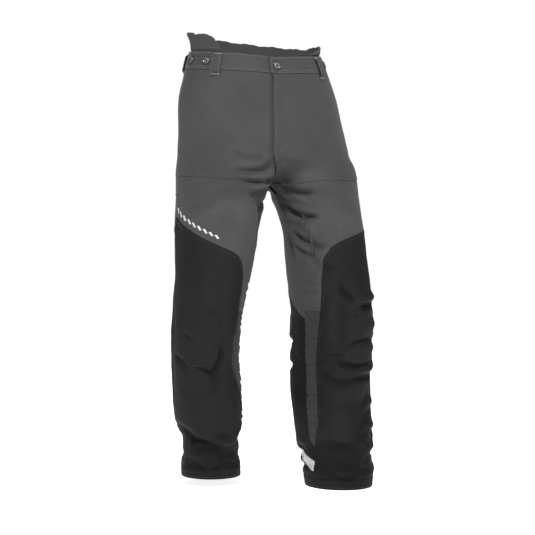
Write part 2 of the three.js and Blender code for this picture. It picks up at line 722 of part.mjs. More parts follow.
// ---------------------------------------------------------------- legs
function legPieces(side) {
  const word = side === RIGHT ? 'right' : 'left';
  const hem = HEM_DROP[side];
  const cuffTop = hem - HEM_HEIGHT - SEAM_GAP;
  const seam = SEAM_GAP * roundPerMillimetre(side, OUTSEAM_AT, KNEE_DROP);
  const thighEnd = (at) => kneeEdge(side, at, -1);
  const shinStart = (at) => kneeEdge(side, at, 1);
  const guardEdge = (at) => alongEdge(GUARD_EDGE, 'at', 'drop', at);
  const backEdge = (at) => alongEdge(BACK_GUARD_EDGE, 'at', 'drop', at);
  const guardStart = 0.075;
  const frontStops = [seam, STEP, guardStart, 0.09, 3 * STEP, ...roundStops(4 * STEP, OUTSEAM_AT - seam)];
  const guardStops = frontStops.filter((at) => at >= guardStart);
  const wholeRound = roundStops(seam, 1 - seam);
  const backStops = roundStops(OUTSEAM_AT + seam, 1 - seam);
  const liningStops = wholeRound.filter((at, i) => i % 2 === 0 || i === wholeRound.length - 1);
  const padStops = roundStops(3 * STEP, 14 * STEP);

  const hipFold = clothPanel(`hip_fold_${word}`, MATERIALS.grey, {
    side,
    stops: roundStops(0, 1),
    top: (at) => hipEdge(at) + 2 * SEAM_GAP,
    bottom: () => THIGH_TOP - SEAM_GAP,
  });
  const thighFront = clothPanel(`thigh_front_${word}`, MATERIALS.grey, {
    side,
    stops: frontStops,
    top: () => THIGH_TOP,
    bottom: (at) => (at < guardStart ? thighEnd(at) : guardEdge(at)),
  });
  const thighGuard = clothPanel(`thigh_guard_${word}`, MATERIALS.black, {
    side,
    stops: guardStops,
    top: (at) => guardEdge(at) + 2 * SEAM_GAP,
    bottom: thighEnd,
  });
  const thighBack = clothPanel(`thigh_back_${word}`, MATERIALS.grey, {
    side,
    stops: backStops,
    top: () => THIGH_TOP,
    bottom: backEdge,
  });
  const backGuard = clothPanel(`back_guard_${word}`, MATERIALS.black, {
    side,
    stops: backStops,
    top: (at) => backEdge(at) + SEAM_GAP,
    bottom: thighEnd,
  });
  const kneeFold = clothPanel(`knee_fold_${word}`, MATERIALS.black, {
    side,
    stops: wholeRound,
    rows: 2,
    top: (at) => thighEnd(at) + SEAM_GAP,
    bottom: (at) => shinStart(at) - SEAM_GAP,
  });
  const stripEdge = (drop) => alongEdge(STRIP_EDGE, 'drop', 'at', drop);
  const strip = clothPanel(`inner_strip_${word}`, MATERIALS.strip, {
    side,
    stops: [0, 0.5, 1],
    slant: (stop, drop) => mix(seam, stripEdge(drop), stop),
    top: (stop) => shinStart(stop * stripEdge(KNEE_DROP)),
    bottom: () => STRIP_END,
  });
  const shinGuard = clothPanel(`shin_guard_${word}`, MATERIALS.black, {
    side,
    stops: [0, 1.5 * STEP, ...roundStops(3 * STEP, OUTSEAM_AT - seam)],
    slant: (stop, drop) => {
      const inner = stripEdge(drop) + 2 * seam;
      return stop < 3 * STEP ? mix(inner, 3 * STEP, stop / (3 * STEP)) : stop;
    },
    top: (stop) => shinStart(Math.max(stop, 0.07)),
    bottom: () => cuffTop,
  });
  const calfBack = clothPanel(`calf_back_${word}`, MATERIALS.black, {
    side,
    stops: backStops,
    top: shinStart,
    bottom: () => cuffTop,
  });
  const tapeMiddle = (at) => {
    const share = (at - OUTSEAM_AT) / (1 - OUTSEAM_AT);
    return hem - mix(TAPE_OUTER_ABOVE_HEM, TAPE_INNER_ABOVE_HEM, share);
  };
  const tape = clothPanel(`reflective_tape_${word}`, MATERIALS.reflective, {
    side,
    stops: backStops,
    rows: 1,
    top: (at) => tapeMiddle(at) - TAPE_HEIGHT / 2,
    bottom: (at) => tapeMiddle(at) + TAPE_HEIGHT / 2,
    depth: () => -TOUCH - REFLECTIVE_THICKNESS,
    thickness: () => REFLECTIVE_THICKNESS,
  });
  const cuff = clothPanel(`hem_${word}`, MATERIALS.black, {
    side,
    stops: wholeRound,
    rows: 1,
    top: () => hem - HEM_HEIGHT,
    bottom: () => hem,
    thickness: () => HEM_THICKNESS,
  });
  const layers = [
    ['thigh_pad', MATERIALS.pad, padStops, () => THIGH_TOP + 4, thighEnd, PAD_DEPTH, PAD],
    ['shin_pad', MATERIALS.pad, padStops, shinStart, () => SHIN_PAD_END, PAD_DEPTH, PAD],
    ['thigh_lining', MATERIALS.lining, liningStops, () => THIGH_TOP + 4, thighEnd, LINING_DEPTH, LINING],
    ['shin_lining', MATERIALS.lining, liningStops, shinStart, () => hem - HEM_HEIGHT - 4, LINING_DEPTH, LINING],
  ].map(([kind, material, stops, top, bottom, depth, thickness]) =>
    clothPanel(`${kind}_${word}`, material, {
      side,
      stops,
      top: (at) => top(at),
      bottom: (at) => bottom(at),
      depth: () => depth,
      thickness: () => thickness,
    }),
  );
  return [
    hipFold, thighFront, thighGuard, thighBack, backGuard, kneeFold,
    strip, shinGuard, calfBack, tape, cuff, ...layers,
  ];
}

// ---------------------------------------------------------------- assembly
const LOOPS = [
  ['belt_loop_front_right', RIGHT, 0.28],
  ['belt_loop_front_left', LEFT, 0.26],
  ['belt_loop_side_right', RIGHT, 0.64],
  ['belt_loop_side_left', LEFT, 0.64],
  ['belt_loop_back', LEFT, 1],
];
const BRACE_BUTTONS = [
  ['brace_button_front', 0.34],
  ['brace_button_side', 0.47],
  ['brace_button_back', 0.92],
];

function build() {
  const garment = new THREE.Group();
  const sideSeam = frontRound(SEAM_GAP);
  garment.add(rightWaistband());
  garment.add(leftWaistband());
  garment.add(waistband('waistband_back', LEFT, OUTSEAM_AT + sideSeam, 2 - OUTSEAM_AT - sideSeam, () => 0));
  garment.add(raisedBack());
  for (const [name, side, at] of LOOPS) {
    garment.add(beltLoop(name, side, at));
  }
  garment.add(button('waist_button', LEFT, 0, BUTTON_DROP, BAND_THICKNESS + 0.6 - TOUCH));
  for (const [name, at] of BRACE_BUTTONS) {
    garment.add(button(`${name}_right`, RIGHT, at, BUTTON_DROP, -TOUCH));
    garment.add(button(`${name}_left`, LEFT, at, BUTTON_DROP, -TOUCH));
  }
  garment.add(rightFront());
  garment.add(leftFront());
  garment.add(seatPanel('seat_right', RIGHT));
  garment.add(seatPanel('seat_left', LEFT));
  garment.add(pocketBag('pocket_bag_right', RIGHT));
  garment.add(pocketBag('pocket_bag_left', LEFT));
  garment.add(flyFacing());
  garment.add(flyShield());
  const zip = zipFrame();
  garment.add(zipTape('zip_tape_right', RIGHT, zip));
  garment.add(zipTape('zip_tape_left', LEFT, zip));
  garment.add(zipChain('zip_chain_right', RIGHT, zip));
  garment.add(zipChain('zip_chain_left', LEFT, zip));
  garment.add(zipSlider(zip));
  garment.add(zipPull(zip));
  for (const side of [RIGHT, LEFT]) {
    garment.add(...legPieces(side));
  }
  return garment;
}

export default build();
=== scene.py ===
import math
import bpy
import numpy as np
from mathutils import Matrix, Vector


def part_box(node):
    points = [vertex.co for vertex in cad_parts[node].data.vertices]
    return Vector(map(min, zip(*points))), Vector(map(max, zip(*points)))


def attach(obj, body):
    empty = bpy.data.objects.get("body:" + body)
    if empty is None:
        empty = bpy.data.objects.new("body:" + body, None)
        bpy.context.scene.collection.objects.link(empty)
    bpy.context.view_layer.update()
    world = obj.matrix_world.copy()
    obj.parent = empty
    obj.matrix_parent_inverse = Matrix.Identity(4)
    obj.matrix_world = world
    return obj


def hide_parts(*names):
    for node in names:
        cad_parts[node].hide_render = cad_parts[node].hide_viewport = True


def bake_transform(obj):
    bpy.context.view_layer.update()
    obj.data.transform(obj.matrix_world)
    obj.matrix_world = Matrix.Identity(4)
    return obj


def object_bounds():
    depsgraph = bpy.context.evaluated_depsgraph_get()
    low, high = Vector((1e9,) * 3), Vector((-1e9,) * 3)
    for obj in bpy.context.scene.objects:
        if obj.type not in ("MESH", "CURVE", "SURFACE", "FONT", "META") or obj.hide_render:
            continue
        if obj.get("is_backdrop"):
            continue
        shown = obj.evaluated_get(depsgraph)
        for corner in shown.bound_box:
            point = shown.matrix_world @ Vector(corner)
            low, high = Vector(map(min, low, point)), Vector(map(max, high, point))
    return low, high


# Protective work trousers: cloth panels, seams, thread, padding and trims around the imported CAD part.
# The pattern is drawn in millimetres, as in the part's own source, and comes out in metres.

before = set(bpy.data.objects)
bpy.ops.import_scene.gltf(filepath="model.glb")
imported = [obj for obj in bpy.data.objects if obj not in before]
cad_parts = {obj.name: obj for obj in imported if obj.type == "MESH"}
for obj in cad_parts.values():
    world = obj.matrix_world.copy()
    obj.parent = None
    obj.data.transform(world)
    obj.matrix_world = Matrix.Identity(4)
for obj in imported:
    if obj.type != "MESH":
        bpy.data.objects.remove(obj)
cad_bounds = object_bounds()

MM = 0.001
RIGHT, LEFT = -1, 1
SIDES = {"right": RIGHT, "left": LEFT}
CELL = 5.5

# ------------------------------------------------------------------ pattern
HIP_STATIONS = np.array([
    (0, 9, 0, 174, 123), (42, 13, 1, 190, 128), (100, 18, 3, 208, 135), (160, 25, 4, 219, 142),
    (222, 33, 6, 229, 148), (240, 35, 6, 231, 151), (260, 38, 7, 234, 166), (280, 40, 7, 236, 182),
    (300, 42, 8, 238, 196), (318, 44, 8, 240, 200)], float)
LEG_STATIONS = {
    RIGHT: np.array([
        (318, -76, 8, 120, 144), (345, -85, 10, 111, 134), (400, -91, 13, 107, 128),
        (480, -95, 18, 101, 120),
        (600, -106, 28, 88, 104), (690, -113, 36, 84, 99), (840, -105, 48, 82, 95), (1000, -92, 60, 77, 88),
        (1062, -89, 65, 76, 85)], float),
    LEFT: np.array([
        (318, 164, 6, 120, 144), (345, 176, 0, 110, 133), (400, 188, -11, 103, 124),
        (480, 195, -25, 101, 120),
        (600, 201, -46, 101, 118), (690, 194, -60, 96, 113), (840, 185, -78, 91, 106),
        (1000, 195, -96, 89, 100),
        (1082, 194, -105, 80, 90)], float)}
LEG_TWIST = {RIGHT: math.radians(12), LEFT: math.radians(18)}
HEM_DROP = {RIGHT: 1062, LEFT: 1082}
CROTCH_DROP = 318
BAND_HEIGHT, BAND_THICKNESS, BAND_GAP = 42, 3.6, 0.8
BAND_OVERLAP, BAND_UNDERLAP = 17, 36
FACE_CLOTH = 1.6
PAD_DEPTH, PAD, LINING_DEPTH, LINING = 3.2, 3.4, 7.4, 0.8
SEAT_SEAM = 345
ROUND = 640          # millimetres of cloth for one whole turn of the pattern's round-the-leg position
FRONT_ROUND = 1 / (math.pi * 190)
BUTTON_DROP = 22
OUTSEAM = 0.5

GUARD_TOP = {
    RIGHT: [(0.13, 586), (0.148, 542), (0.178, 508), (0.217, 487), (0.288, 468), (0.358, 448),
            (0.433, 424), (0.5, 398)],
    LEFT: [(0.09, 556), (0.115, 508), (0.143, 486), (0.17, 470), (0.24, 450), (0.32, 437), (0.392, 424),
           (0.5, 398)]}
THIGH_SEAM = {
    RIGHT: [(0.0, 323), (0.06, 320), (0.2, 310), (0.35, 301), (0.5, 294)],
    LEFT: [(0.0, 323), (0.06, 320), (0.2, 307), (0.385, 303), (0.5, 299)]}
BACK_GUARD_TOP = [(0.5, 398), (0.6, 440), (0.75, 530), (0.9, 612), (1.0, 655)]
STRIP_EDGE = {
    RIGHT: [(586, 0.130), (636, 0.122), (688, 0.128), (726, 0.148), (762, 0.155), (788, 0.143),
            (816, 0.112),
            (846, 0.086), (880, 0.058), (930, 0.028), (960, 0.0)],
    LEFT: [(556, 0.09), (602, 0.078), (652, 0.068), (694, 0.06), (762, 0.052), (844, 0.055), (900, 0.05),
           (940, 0.038), (966, 0.017), (980, 0.0)]}
STRIP_TOP = 635
STRIP_BOTTOM = {RIGHT: 960, LEFT: 980}


def smooth(value):
    t = np.clip(value, 0, 1)
    return t * t * (3 - 2 * t)


def curve(points, x):
    """Smooth curve through the points, level past both ends."""
    t = np.array(points, float)
    p, q = t[:, 0], t[:, 1:]
    n = len(p)
    before, after = np.maximum(np.arange(n) - 1, 0), np.minimum(np.arange(n) + 1, n - 1)
    slope = (q[after] - q[before]) / (p[after] - p[before])[:, None]
    x = np.asarray(x, float)
    at = np.clip(x.ravel(), p[0], p[-1])
    i = np.clip(np.searchsorted(p, at, side="right") - 1, 0, n - 2)
    span = (p[i + 1] - p[i])[:, None]
    u = (at - p[i])[:, None] / span
    out = ((1 + 2 * u) * (1 - u) ** 2 * q[i] + u * (1 - u) ** 2 * span * slope[i]
           + u * u * (3 - 2 * u) * q[i + 1] + u * u * (u - 1) * span * slope[i + 1])
    return out.reshape(x.shape + (q.shape[1],)) if q.shape[1] > 1 else out.reshape(x.shape)


def hip_point(side, at, drop):
    x, y, wide, deep = np.moveaxis(curve(HIP_STATIONS, drop), -1, 0)
    turn = np.where(np.abs(at) <= 1, np.abs(at), 2 - np.abs(at))
    lift = 26 * np.sin(math.pi / 2 * turn) * (1 - np.clip(drop / 250, 0, 1))
    return np.stack([x + side * wide * np.sin(math.pi * at), y - deep * np.cos(math.pi * at),
                     lift - drop], -1)


def leg_point(side, at, drop):
    x, y, wide, deep = np.moveaxis(curve(LEG_STATIONS[side], drop), -1, 0)
    twist = LEG_TWIST[side] * smooth((drop - CROTCH_DROP) / 300)
    a, b = -wide * np.cos(2 * math.pi * at), -deep * np.sin(2 * math.pi * at)
    return np.stack([x + side * (a * np.cos(twist) - b * np.sin(twist)),
                     y + a * np.sin(twist) + b * np.cos(twist), -drop], -1)


def one_side(side, at, drop):
    share = smooth((drop - (CROTCH_DROP - 80)) / 80)[..., None]
    point = hip_point(side, at, drop) * (1 - share) + leg_point(side, at, drop) * share
    point[..., 0] += side * 0.35
    return point


def one_side_outward(side, at, drop):
    along = one_side(side, at + 0.002, drop) - one_side(side, at - 0.002, drop)
    down = one_side(side, at, drop + 1) - one_side(side, at, drop - 1)
    out = np.cross(down, along) * side
    return out / np.linalg.norm(out, axis=-1, keepdims=True)


# ------------------------------------------------------------------ how the cloth falls
def lattice_noise(u, v, seed, wrap):
    """Smooth noise on a lattice that repeats every `wrap` cells round the leg."""
    table = np.random.default_rng(seed).uniform(-1, 1, (wrap, 257))
    i, j = np.floor(u).astype(int), np.floor(v).astype(int)
    a, b = smooth(u - i), smooth(v - j)
    def pick(di, dj):
        return table[(i + di) % wrap, (j + dj) % 257]
    return (pick(0, 0) * (1 - a) * (1 - b) + pick(1, 0) * a * (1 - b)
            + pick(0, 1) * (1 - a) * b + pick(1, 1) * a * b)


# Creases: start (round, drop), end (round, drop), height (a groove is below 0) and width.
CREASES = {
    RIGHT: [
        (0.03, 276, 0.27, 308, -8.0, 8), (0.07, 262, 0.26, 282, -5.0, 8), (0.05, 296, 0.22, 340, -6.0, 9),
        (0.03, 312, 0.14, 384, -6.0, 10), (0.10, 250, 0.20, 240, -3.0, 9), (0.05, 286, 0.20, 322, 3.0, 7),
        (0.195, 336, 0.06, 458, -3.5, 20), (0.12, 380, 0.05, 520, -3.0, 16),
        (0.16, 410, 0.36, 372, 2.0, 24), (0.30, 330, 0.44, 380, -1.8, 16),
        (0.375, 666, 0.24, 728, 3.4, 13), (0.40, 690, 0.27, 738, -3.4, 9), (0.30, 630, 0.20, 668, -2.2, 12),
        (0.352, 740, 0.272, 744, -1.5, 4.6), (0.327, 756, 0.272, 757, -1.5, 4.6),
        (0.337, 768, 0.275, 767, -1.5, 4.6),
        (0.355, 778, 0.245, 794, -5.0, 8), (0.198, 722, 0.258, 790, -5.0, 9),
        (0.46, 744, 0.36, 786, -3.6, 10),
        (0.43, 830, 0.28, 858, -2.0, 14), (0.20, 850, 0.33, 905, 2.0, 18),
        (0.385, 962, 0.205, 990, -6.5, 8), (0.36, 984, 0.18, 1012, -4.0, 8),
        (0.30, 948, 0.14, 966, 4.0, 9), (0.47, 930, 0.36, 968, -3.0, 12),
        (0.25, 1018, 0.12, 1000, -3.0, 10),
        (0.28, 1040, 0.10, 1030, -5.0, 7), (0.44, 1030, 0.30, 1042, -4.0, 7),
        (0.43, 1012, 0.33, 1030, -2.2, 9)],
    LEFT: [
        (0.0, 364, 0.15, 398, -8.5, 8), (0.02, 436, 0.14, 474, -7.0, 8), (0.03, 304, 0.17, 336, -5.0, 8),
        (0.01, 392, 0.12, 440, 3.4, 10), (0.0, 466, 0.10, 500, -4.0, 8), (0.02, 340, 0.14, 362, 3.0, 8),
        (0.02, 330, 0.10, 430, -3.0, 18), (0.06, 500, 0.16, 530, -2.6, 12),
        (0.25, 360, 0.38, 388, -1.8, 18),
        (0.15, 570, 0.21, 610, -4.6, 8), (0.33, 622, 0.20, 634, -5.6, 9), (0.195, 650, 0.28, 618, -4.0, 8),
        (0.34, 594, 0.22, 602, 4.0, 10), (0.35, 664, 0.21, 668, 4.4, 13), (0.36, 712, 0.18, 724, -6.0, 10),
        (0.08, 738, 0.192, 738, -1.5, 4.6), (0.30, 742, 0.36, 736, -2.0, 8),
        (0.13, 760, 0.31, 766, -6.5, 8), (0.36, 768, 0.24, 780, 4.5, 12), (0.36, 806, 0.20, 812, -6.0, 10),
        (0.06, 786, 0.21, 816, -5.0, 9), (0.10, 860, 0.30, 846, 2.4, 16), (0.38, 860, 0.27, 868, 2.8, 12),
        (0.38, 892, 0.26, 900, -3.0, 10), (0.38, 922, 0.26, 918, 3.0, 12), (0.38, 950, 0.24, 944, -3.0, 10),
        (0.06, 974, 0.14, 966, -5.5, 8), (0.14, 966, 0.22, 986, -5.5, 8), (0.38, 974, 0.26, 972, 4.0, 11),
        (0.40, 1004, 0.24, 1018, -3.6, 10), (0.10, 1010, 0.22, 1028, -4.5, 8),
        (0.06, 1040, 0.20, 1052, -3.5, 7), (0.30, 1036, 0.18, 1048, -3.5, 7)]}
STRIP_CREASES = [(0.004, drop, 0.075, drop + lean, -1.9, 5.0) for drop, lean in
                 ((560, 8), (588, -6), (655, 6), (676, -5), (698, 7), (716, 0), (742, 6), (768, -6),
                  (790, 5), (818, 0), (842, 6), (866, -4), (892, 5), (915, -3))]
BACK_CREASES = [
    (0.96, 296, 0.76, 318, -5.0, 10), (0.97, 330, 0.80, 372, -5.0, 11), (0.66, 352, 0.80, 344, -2.5, 14),
    (0.62, 470, 0.80, 452, -2.4, 16), (0.86, 640, 0.62, 668, -3.4, 12), (0.62, 700, 0.90, 712, -6.0, 10),
    (0.60, 738, 0.88, 728, -5.0, 9), (0.64, 762, 0.90, 774, -5.0, 10), (0.58, 800, 0.80, 812, -3.6, 12),
    (0.62, 880, 0.84, 900, -2.6, 14), (0.60, 985, 0.86, 996, -4.0, 10), (0.66, 1022, 0.90, 1030, -3.0, 9)]


def crease(at, drop, line):
    a0, d0, a1, d1, height, width = line
    ax, ay, bx, by = a0 * ROUND, d0, a1 * ROUND, d1
    length = math.hypot(bx - ax, by - ay)
    ux, uy = (bx - ax) / length, (by - ay) / length
    total = 0
    for turn in (-1, 0, 1):
        px, py = (at + turn) * ROUND - ax, drop - ay
        along = px * ux + py * uy
        bow = 0.09 * length * np.sin(math.pi * np.clip(along / length, 0, 1)) * (1 if height < 0 else -1)
        off = (-px * uy + py * ux - bow) / width
        ends = smooth(along / (0.3 * length) + 0.25) * smooth((length - along) / (0.3 * length) + 0.25)
        total = total + np.where(np.abs(off) < 4, (1 - 0.62 * off * off) * np.exp(-0.62 * off * off),
                                 0) * ends
    return 1.9 * height * total


DRAPE = {}


def draped(side, at, drop):
    if side not in DRAPE:
        return 0.0
    table, first, step = DRAPE[side]
    n, m = table.shape
    u = (at % 1.0) * n
    v = np.clip((drop - first) / step, 0, m - 1.001)
    i, j = np.floor(u).astype(int), np.floor(v).astype(int)
    a, b = u - i, v - j
    return ((table[i % n, j] * (1 - a) + table[(i + 1) % n, j] * a) * (1 - b)
            + (table[i % n, j + 1] * (1 - a) + table[(i + 1) % n, j + 1] * a) * b)


def folds(side, at, drop, settled=True):
    """How far the cloth stands out from the smooth pattern at a place, in millimetres."""
    total = 0
    for line in CREASES[side] + BACK_CREASES + STRIP_CREASES:
        total = total + crease(at, drop, line)
    seed = 11 if side == RIGHT else 29
    total = total + 2.4 * lattice_noise(at * 7, drop / 105, seed, 7)
    total = total + 1.2 * lattice_noise(at * 15 + drop / 190, drop / 46, seed + 1, 15)
    knees = np.exp(-((drop - 735) / 75) ** 2) + 0.8 * np.exp(-((drop - 1000) / 60) ** 2)
    total = total + (0.45 + 1.2 * knees) * lattice_noise(at * 22, drop / 19, seed + 2, 22)
    if settled:
        total = total + draped(side, at, drop)
    inner = np.minimum(np.abs(at), 0.9 * np.abs(1 - at) + 0.03)
    lean = drop - 302 - 150 * np.abs(at)
    total = total - 17 * np.exp(-(inner / 0.085) ** 2) * np.exp(-((lean - 12)
            / 24) ** 2) + 6 * np.exp(-((at - 0.12) / 0.09) ** 2) * np.exp(-((lean + 26) / 13) ** 2)
    strip = smooth((0.15 - np.abs(at)) / 0.05) * smooth((drop - 600) / 40) * smooth((980 - drop) / 30)
    total = total + strip * 1.1 * lattice_noise(at * 9, drop / 5.5, seed + 3, 9)
    middle = smooth(np.abs(at) / 0.07 + 0.08) * smooth((1 - at) / 0.07 + 0.02)
    hips = smooth((360 - drop) / 60)
    total = total * (1 - hips * (1 - middle))
    hem = HEM_DROP[side]
    total = total * smooth((drop - 46) / 60) * (0.55 + 0.45 * smooth((hem - drop) / 60))
    return 15 * np.tanh(total / 15)


def split_sides(side, at, drop, work):
    """Places past the front or back middle belong to the other half of the pattern."""
    at, drop = np.broadcast_arrays(np.asarray(at, float), np.asarray(drop, float))
    out = work(side, at, drop)
    for over, mirrored in (((at < 0) & (drop < 319), -at), ((at > 1) & (drop < 319), 2 - at)):
        if over.any():
            other = work(-side, np.where(over, mirrored, 0.5), drop)
            out = np.where(over.reshape(over.shape + (1,) * (out.ndim - over.ndim)), other, out)
    return out


def cloth_point(side, at, drop):
    return split_sides(side, at, drop, one_side)


def outward(side, at, drop):
    return split_sides(side, at, drop, one_side_outward)


def layer_point(side, at, drop, depth):
    """A place on a layer of the cloth; every layer follows the same folds."""
    lift = split_sides(side, at, drop, folds)
    return cloth_point(side, at, drop) + outward(side, at, drop) * (lift - depth)[..., None]


# ------------------------------------------------------------------ meshes
def piece(name, vertices, faces, material, uv=None, values=None):
    """A mesh object from millimetres, smooth shaded."""
    mesh = bpy.data.meshes.new(name)
    faces = np.asarray(faces)
    mesh.vertices.add(len(vertices))
    mesh.vertices.foreach_set("co", (np.asarray(vertices, float) * MM).astype(np.float32).ravel())
    size = faces.shape[1]
    mesh.loops.add(faces.size)
    mesh.loops.foreach_set("vertex_index", faces.astype(np.int32).ravel())
    mesh.polygons.add(len(faces))
    mesh.polygons.foreach_set("loop_start", np.arange(0, faces.size, size, dtype=np.int32))
    mesh.polygons.foreach_set("loop_total", np.full(len(faces), size, np.int32))
    mesh.polygons.foreach_set("use_smooth", np.ones(len(faces), bool))
    if uv is not None:
        layer = mesh.uv_layers.new(name="pattern")
        layer.data.foreach_set("uv", (np.asarray(uv)[faces.ravel()] * MM).astype(np.float32).ravel())
    if values is not None:
        mark = mesh.attributes.new("fold", "FLOAT", "POINT")
        mark.data.foreach_set("value", np.asarray(values, np.float32))
    mesh.update(calc_edges=True)
    mesh.validate()
    if material is not None:
        mesh.materials.append(material)
    made = bpy.data.objects.new(name, mesh)
    bpy.context.scene.collection.objects.link(made)
    return made


def stops(length, cell, near=(), far=()):
    """Distances along a length, with extra ones near each end."""
    inner = [d for d in near if d < length * 0.4]
    outer = [length - d for d in reversed(far) if d < length * 0.4]
    start = inner[-1] if inner else 0
    end = outer[0] if outer else length
    count = max(1, int(round((end - start) / cell)))
    middle = list(np.linspace(start, end, count + 1))
    out = ([0.0] if inner and inner[0] > 0 else []) + inner[:-1] + middle + outer[1:] + ([length] if outer
            and outer[-1] < length else [])
    return np.unique(np.round(out, 4))


LAP = (0.0, 0.7, 1.8, 8.4, 9.6, 11.0)
CUT = (0.0, 0.7, 1.8)
TUCK = 5.0


def lapped(distance, width=9.2, height=0.75):
    """A folded and stitched edge stands a little higher."""
    return height * (1 - smooth((distance - width + 1) / 2.0))


def rolled(distance):
    return -0.75 * np.exp(-(distance / 0.8) ** 2)


def panel(name, side, material, left, right, top, bottom, laps="", tucks="", depth=0.0,
          thickness=FACE_CLOTH, cell=None,
          raise_by=None, closed=False, flat_edges=False, backing=None, tuck=TUCK):
    """A cut piece of cloth. `left` and `right` are its edges round the leg, `top` and `bottom` its drops.
    `laps` names the edges that are folded and lie over their neighbour, `tucks` those that run under it."""
    cell = cell or CELL
    as_curve = lambda edge: edge if callable(edge) else (lambda x, e=edge: np.full(np.shape(x), float(e)))
    left, right, top, bottom = map(as_curve, (left, right, top, bottom))
    under = {key: (tuck if key in tucks else 0.0) for key in "lrtb"}
    tucked = (0.0, 0.7, tuck - 1.2, tuck - 0.4, tuck + 0.4, tuck + 1.4)
    cut_left, cut_right, cut_top, cut_bottom = left, right, top, bottom
    left = lambda d: cut_left(d) - under["l"] / ROUND
    right = lambda d: cut_right(d) + under["r"] / ROUND
    top = lambda a: cut_top(a) - under["t"]
    bottom = lambda a: cut_bottom(a) + under["b"]
    middle_at = 0.5 * (left(np.array(400.0)) + right(np.array(400.0)))
    high, low = float(top(middle_at)), float(bottom(middle_at))
    wide = float(np.max(right(np.linspace(high, low, 9)) - left(np.linspace(high, low, 9)))) * ROUND
    tall = max(float(np.max(bottom(a) - top(a))) for a in np.linspace(float(left(np.array(high))),
            float(right(np.array(high))), 9))
    edges = {key: (LAP if key in laps else tucked if key in tucks else CUT) for key in "lrtb"}
    s = stops(wide, cell, edges["l"] if not closed else (), edges["r"] if not closed else ()) / wide
    t = stops(tall, cell, edges["t"], edges["b"]) / tall
    if closed:
        s = s[:-1]
    S, T = np.meshgrid(s, t, indexing="ij")
    drop = high + (low - high) * T
    for _ in range(4):
        at = left(drop) + (right(drop) - left(drop)) * S
        drop = top(at) + (bottom(at) - top(at)) * T
    width = (right(drop) - left(drop)) * ROUND
    height = bottom(at) - top(at)
    far = np.full(S.shape, 99.0)
    gaps = {"l": far if closed else S * width, "r": far if closed else (1 - S) * width, "t": T * height,
            "b": (1 - T) * height}
    rise = np.zeros(S.shape)
    for key, gap in gaps.items():
        rise = rise + (0 if flat_edges else rolled(gap))
        if key in laps:
            rise = np.maximum(rise, rolled(gap) + lapped(gap))
        if key in tucks:
            rise = rise - 1.75 * (1 - smooth((gap - tuck + 0.8) / 1.6))
    if raise_by is not None:
        rise = rise + raise_by(at, drop)
    deep = depth(at, drop) if callable(depth) else np.full(S.shape, float(depth))
    thick = thickness(at, drop) if callable(thickness) else thickness
    inset = 0.35 * (np.exp(-(np.minimum.reduce(list(gaps.values())) / 0.8) ** 2))
    outer = layer_point(side, at, drop, deep - rise)
    inner = layer_point(side, at, drop, deep + thick - inset)
    n, m = S.shape
    index = np.arange(n * m).reshape(n, m)
    back = index + n * m
    columns = np.arange(n if closed else n - 1)
    follow = (columns + 1) % n
    a, b, c, d = index[columns, :-1], index[follow, :-1], index[follow, 1:], index[columns, 1:]
    front_faces = np.stack([a, b, c, d], -1).reshape(-1, 4)
    back_faces = front_faces[:, ::-1] + n * m
    walls = [np.stack([index[columns, 0], back[columns, 0], back[follow, 0], index[follow, 0]], -1),
             np.stack([index[follow, -1], back[follow, -1], back[columns, -1], index[columns, -1]], -1)]
    if not closed:
        walls.append(np.stack([index[0, 1:], back[0, 1:], back[0, :-1], index[0, :-1]], -1))
        walls.append(np.stack([index[-1, :-1], back[-1, :-1], back[-1, 1:], index[-1, 1:]], -1))
    faces = np.concatenate([front_faces, back_faces] + walls)
    vertices = np.concatenate([outer.reshape(-1, 3), inner.reshape(-1, 3)])
    p = vertices[front_faces]
    face_out = np.cross(p[:, 2] - p[:, 0], p[:, 3] - p[:, 1])
    out = outward(side, at, drop).reshape(-1, 3)[front_faces[:, 0]]
    if (face_out * out).sum() < 0:
        faces = faces[:, ::-1]
    flat = np.stack([at.ravel() * ROUND, drop.ravel()], -1)
    lift = split_sides(side, at, drop, folds).ravel()
    made = piece(name, vertices, faces, material, np.concatenate([flat, flat]),
                 np.concatenate([lift, lift]))
    if backing is not None:
        made.data.materials.append(backing)
        inside = np.zeros(len(faces), np.int32)
        inside[len(front_faces):2 * len(front_faces)] = 1
        made.data.polygons.foreach_set("material_index", inside)
    smooth_places = cloth_point(side, at, drop)
    return made


def stitch_row(side, places, depth, pitch=4.2, length=2.9, thick=0.55, slant=0.0):
    """Stitches along a line of places (round, drop): vertices and faces, in millimetres."""
    places = np.asarray(places, float)
    dense = np.linspace(0, 1, 1400)
    key = np.linspace(0, 1, len(places))
    at, drop = np.interp(dense, key, places[:, 0]), np.interp(dense, key, places[:, 1])
    line = layer_point(side, at, drop, depth)
    steps = np.linalg.norm(np.diff(line, axis=0), axis=1)
    run = np.concatenate([[0], np.cumsum(steps)])
    count = int((run[-1] - 1.5) // pitch)
    if count < 1:
        return np.zeros((0, 3)), np.zeros((0, 3), int)
    middle = (np.arange(count) + 0.5) * run[-1] / count
    pick = lambda r: np.stack([np.interp(r, run, line[:, k]) for k in range(3)], -1)
    start, end = pick(middle - length / 2), pick(middle + length / 2)
    out = outward(side, np.interp(middle, run, at), np.interp(middle, run, drop))
    along = end - start
    along /= np.linalg.norm(along, axis=-1, keepdims=True)
    across = np.cross(along, out)
    if slant:
        shift = across * slant
        start, end = start - shift, end + shift
    return capsules(start, end, out, across, thick / 2)


